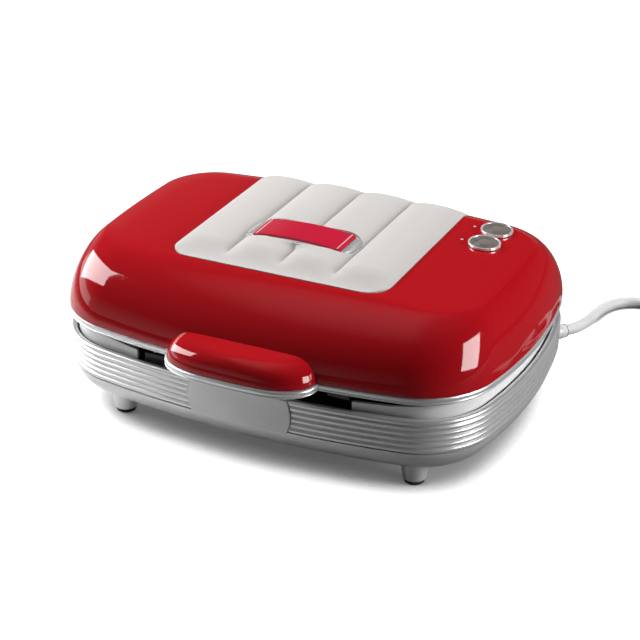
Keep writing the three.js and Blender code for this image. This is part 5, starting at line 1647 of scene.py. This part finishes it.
def makeFloor(setup):
    # lit like paper, and lifted to white for the camera except close to the object; to other rays it shows a
    # painted pool of light, pale round a point left of the middle and dark far off
    half = setup["floorHalf"]
    mesh = bpy.data.meshes.new("floor")
    corners = [(-half, -half, 0), (half, -half, 0), (half, half, 0), (-half, half, 0)]
    mesh.from_pydata(corners, [], [(0, 1, 2, 3)])
    floor = bpy.data.objects.new("floor", mesh)
    bpy.context.scene.collection.objects.link(floor)
    material, tree, shader = startMaterial("paleFloor")
    shader.inputs["Roughness"].default_value = setup["roughness"]
    shader.inputs["Specular IOR Level"].default_value = setup["specular"]
    rays = addNode(tree, "ShaderNodeLightPath")
    openSky = addNode(tree, "ShaderNodeAmbientOcclusion", samples=setup["samples"], Distance=setup["contact"])
    clearance = mapped(tree, openSky.outputs["AO"], setup["openness"], setup["lift"], "SMOOTHSTEP")
    lifted = addNode(tree, "ShaderNodeMath", operation="MULTIPLY")
    tree.links.new(rays.outputs["Is Camera Ray"], lifted.inputs[0])
    tree.links.new(clearance, lifted.inputs[1])
    # painted pool of bounce light: other rays see the floor pale near the bounce's middle and dark far from
    # it
    away = addNode(tree, "ShaderNodeVectorMath", operation="DISTANCE")
    away.inputs[1].default_value = setup["bounceMiddle"]
    tree.links.new(objectCoordinates(tree), away.inputs[0])
    bounce = mapped(tree, away.outputs["Value"], setup["bounceReach"], setup["bounce"], "SMOOTHSTEP")
    shown = addNode(tree, "ShaderNodeMix", data_type="FLOAT")
    shown.inputs["B"].default_value = setup["floor"]
    tree.links.new(bounce, shown.inputs["A"])
    tree.links.new(rays.outputs["Is Camera Ray"], shown.inputs["Factor"])
    tree.links.new(shown.outputs["Result"], shader.inputs["Base Color"])
    shader.inputs["Emission Color"].default_value = (1, 1, 1, 1)
    tree.links.new(lifted.outputs["Value"], shader.inputs["Emission Strength"])
    clear = addNode(tree, "ShaderNodeBsdfTransparent")
    side = addNode(tree, "ShaderNodeNewGeometry")
    seen = addNode(tree, "ShaderNodeMixShader")
    output = tree.nodes["Material Output"]
    tree.links.new(side.outputs["Backfacing"], seen.inputs["Fac"])
    tree.links.new(shader.outputs["BSDF"], seen.inputs[1])
    tree.links.new(clear.outputs["BSDF"], seen.inputs[2])
    tree.links.new(seen.outputs["Shader"], output.inputs["Surface"])
    floor.data.materials.append(material)


# each lamp looks at the middle of the lid; those that only light aren't mirrored in gloss, and the reverse
onlyLights = {"mirrored": False}
onlyMirrored = {"lights": False}
leftPane = {"bearing": -84.8, "rise": 25.8, "size": (1.28, 0.48), "roll": 41}
lamps = {
    "overhead": {"bearing": 180, "rise": 65, "away": 1.6, "size": (0.45, 0.40), "power": 11.5, **onlyLights},
    "rightFill": {"bearing": 100, "rise": 15, "away": 1.5, "size": (0.5, 0.5), "power": 20.5, **onlyLights},
    "leftFill": {"bearing": -108, "rise": 36, "away": 1.5, "size": (0.6, 0.6), "power": 16, **onlyLights},
    "rightBox": {"bearing": 88.6, "rise": 19, "away": 1.45, "size": (0.63, 0.76), "roll": -21, "power": 21,
                 **onlyMirrored},
    "leftBox": {**leftPane, "away": 1.45, "power": 13},
    "leftGlint": {**leftPane, "away": 1.44, "power": 9, **onlyMirrored},
    "leftCard": {"bearing": -86, "rise": 6, "away": 1.1, "size": (0.9, 0.2), "power": 1.0},
}


def makeLamp(name, setup):
    data = bpy.data.lights.new(name, "AREA")
    data.shape = "RECTANGLE"
    data.size, data.size_y = setup["size"]
    data.energy = setup["power"]
    lamp = bpy.data.objects.new(name, data)
    bpy.context.scene.collection.objects.link(lamp)
    back = lineOut(setup["bearing"], setup["rise"])
    lamp.location = place(0, 0, rimTop) + back * setup["away"]
    lamp.rotation_mode = "QUATERNION"
    roll = Quaternion((0, 0, 1), math.radians(setup.get("roll", 0)))
    lamp.rotation_quaternion = (-back).to_track_quat("-Z", "Y") @ roll
    lamp.visible_glossy = setup.get("mirrored", True)
    lamp.visible_diffuse = setup.get("lights", True)


makeWorld(studio)
makeFloor(studio)
for lampName, lampSetup in lamps.items():
    makeLamp(lampName, lampSetup)
print("studio lit")
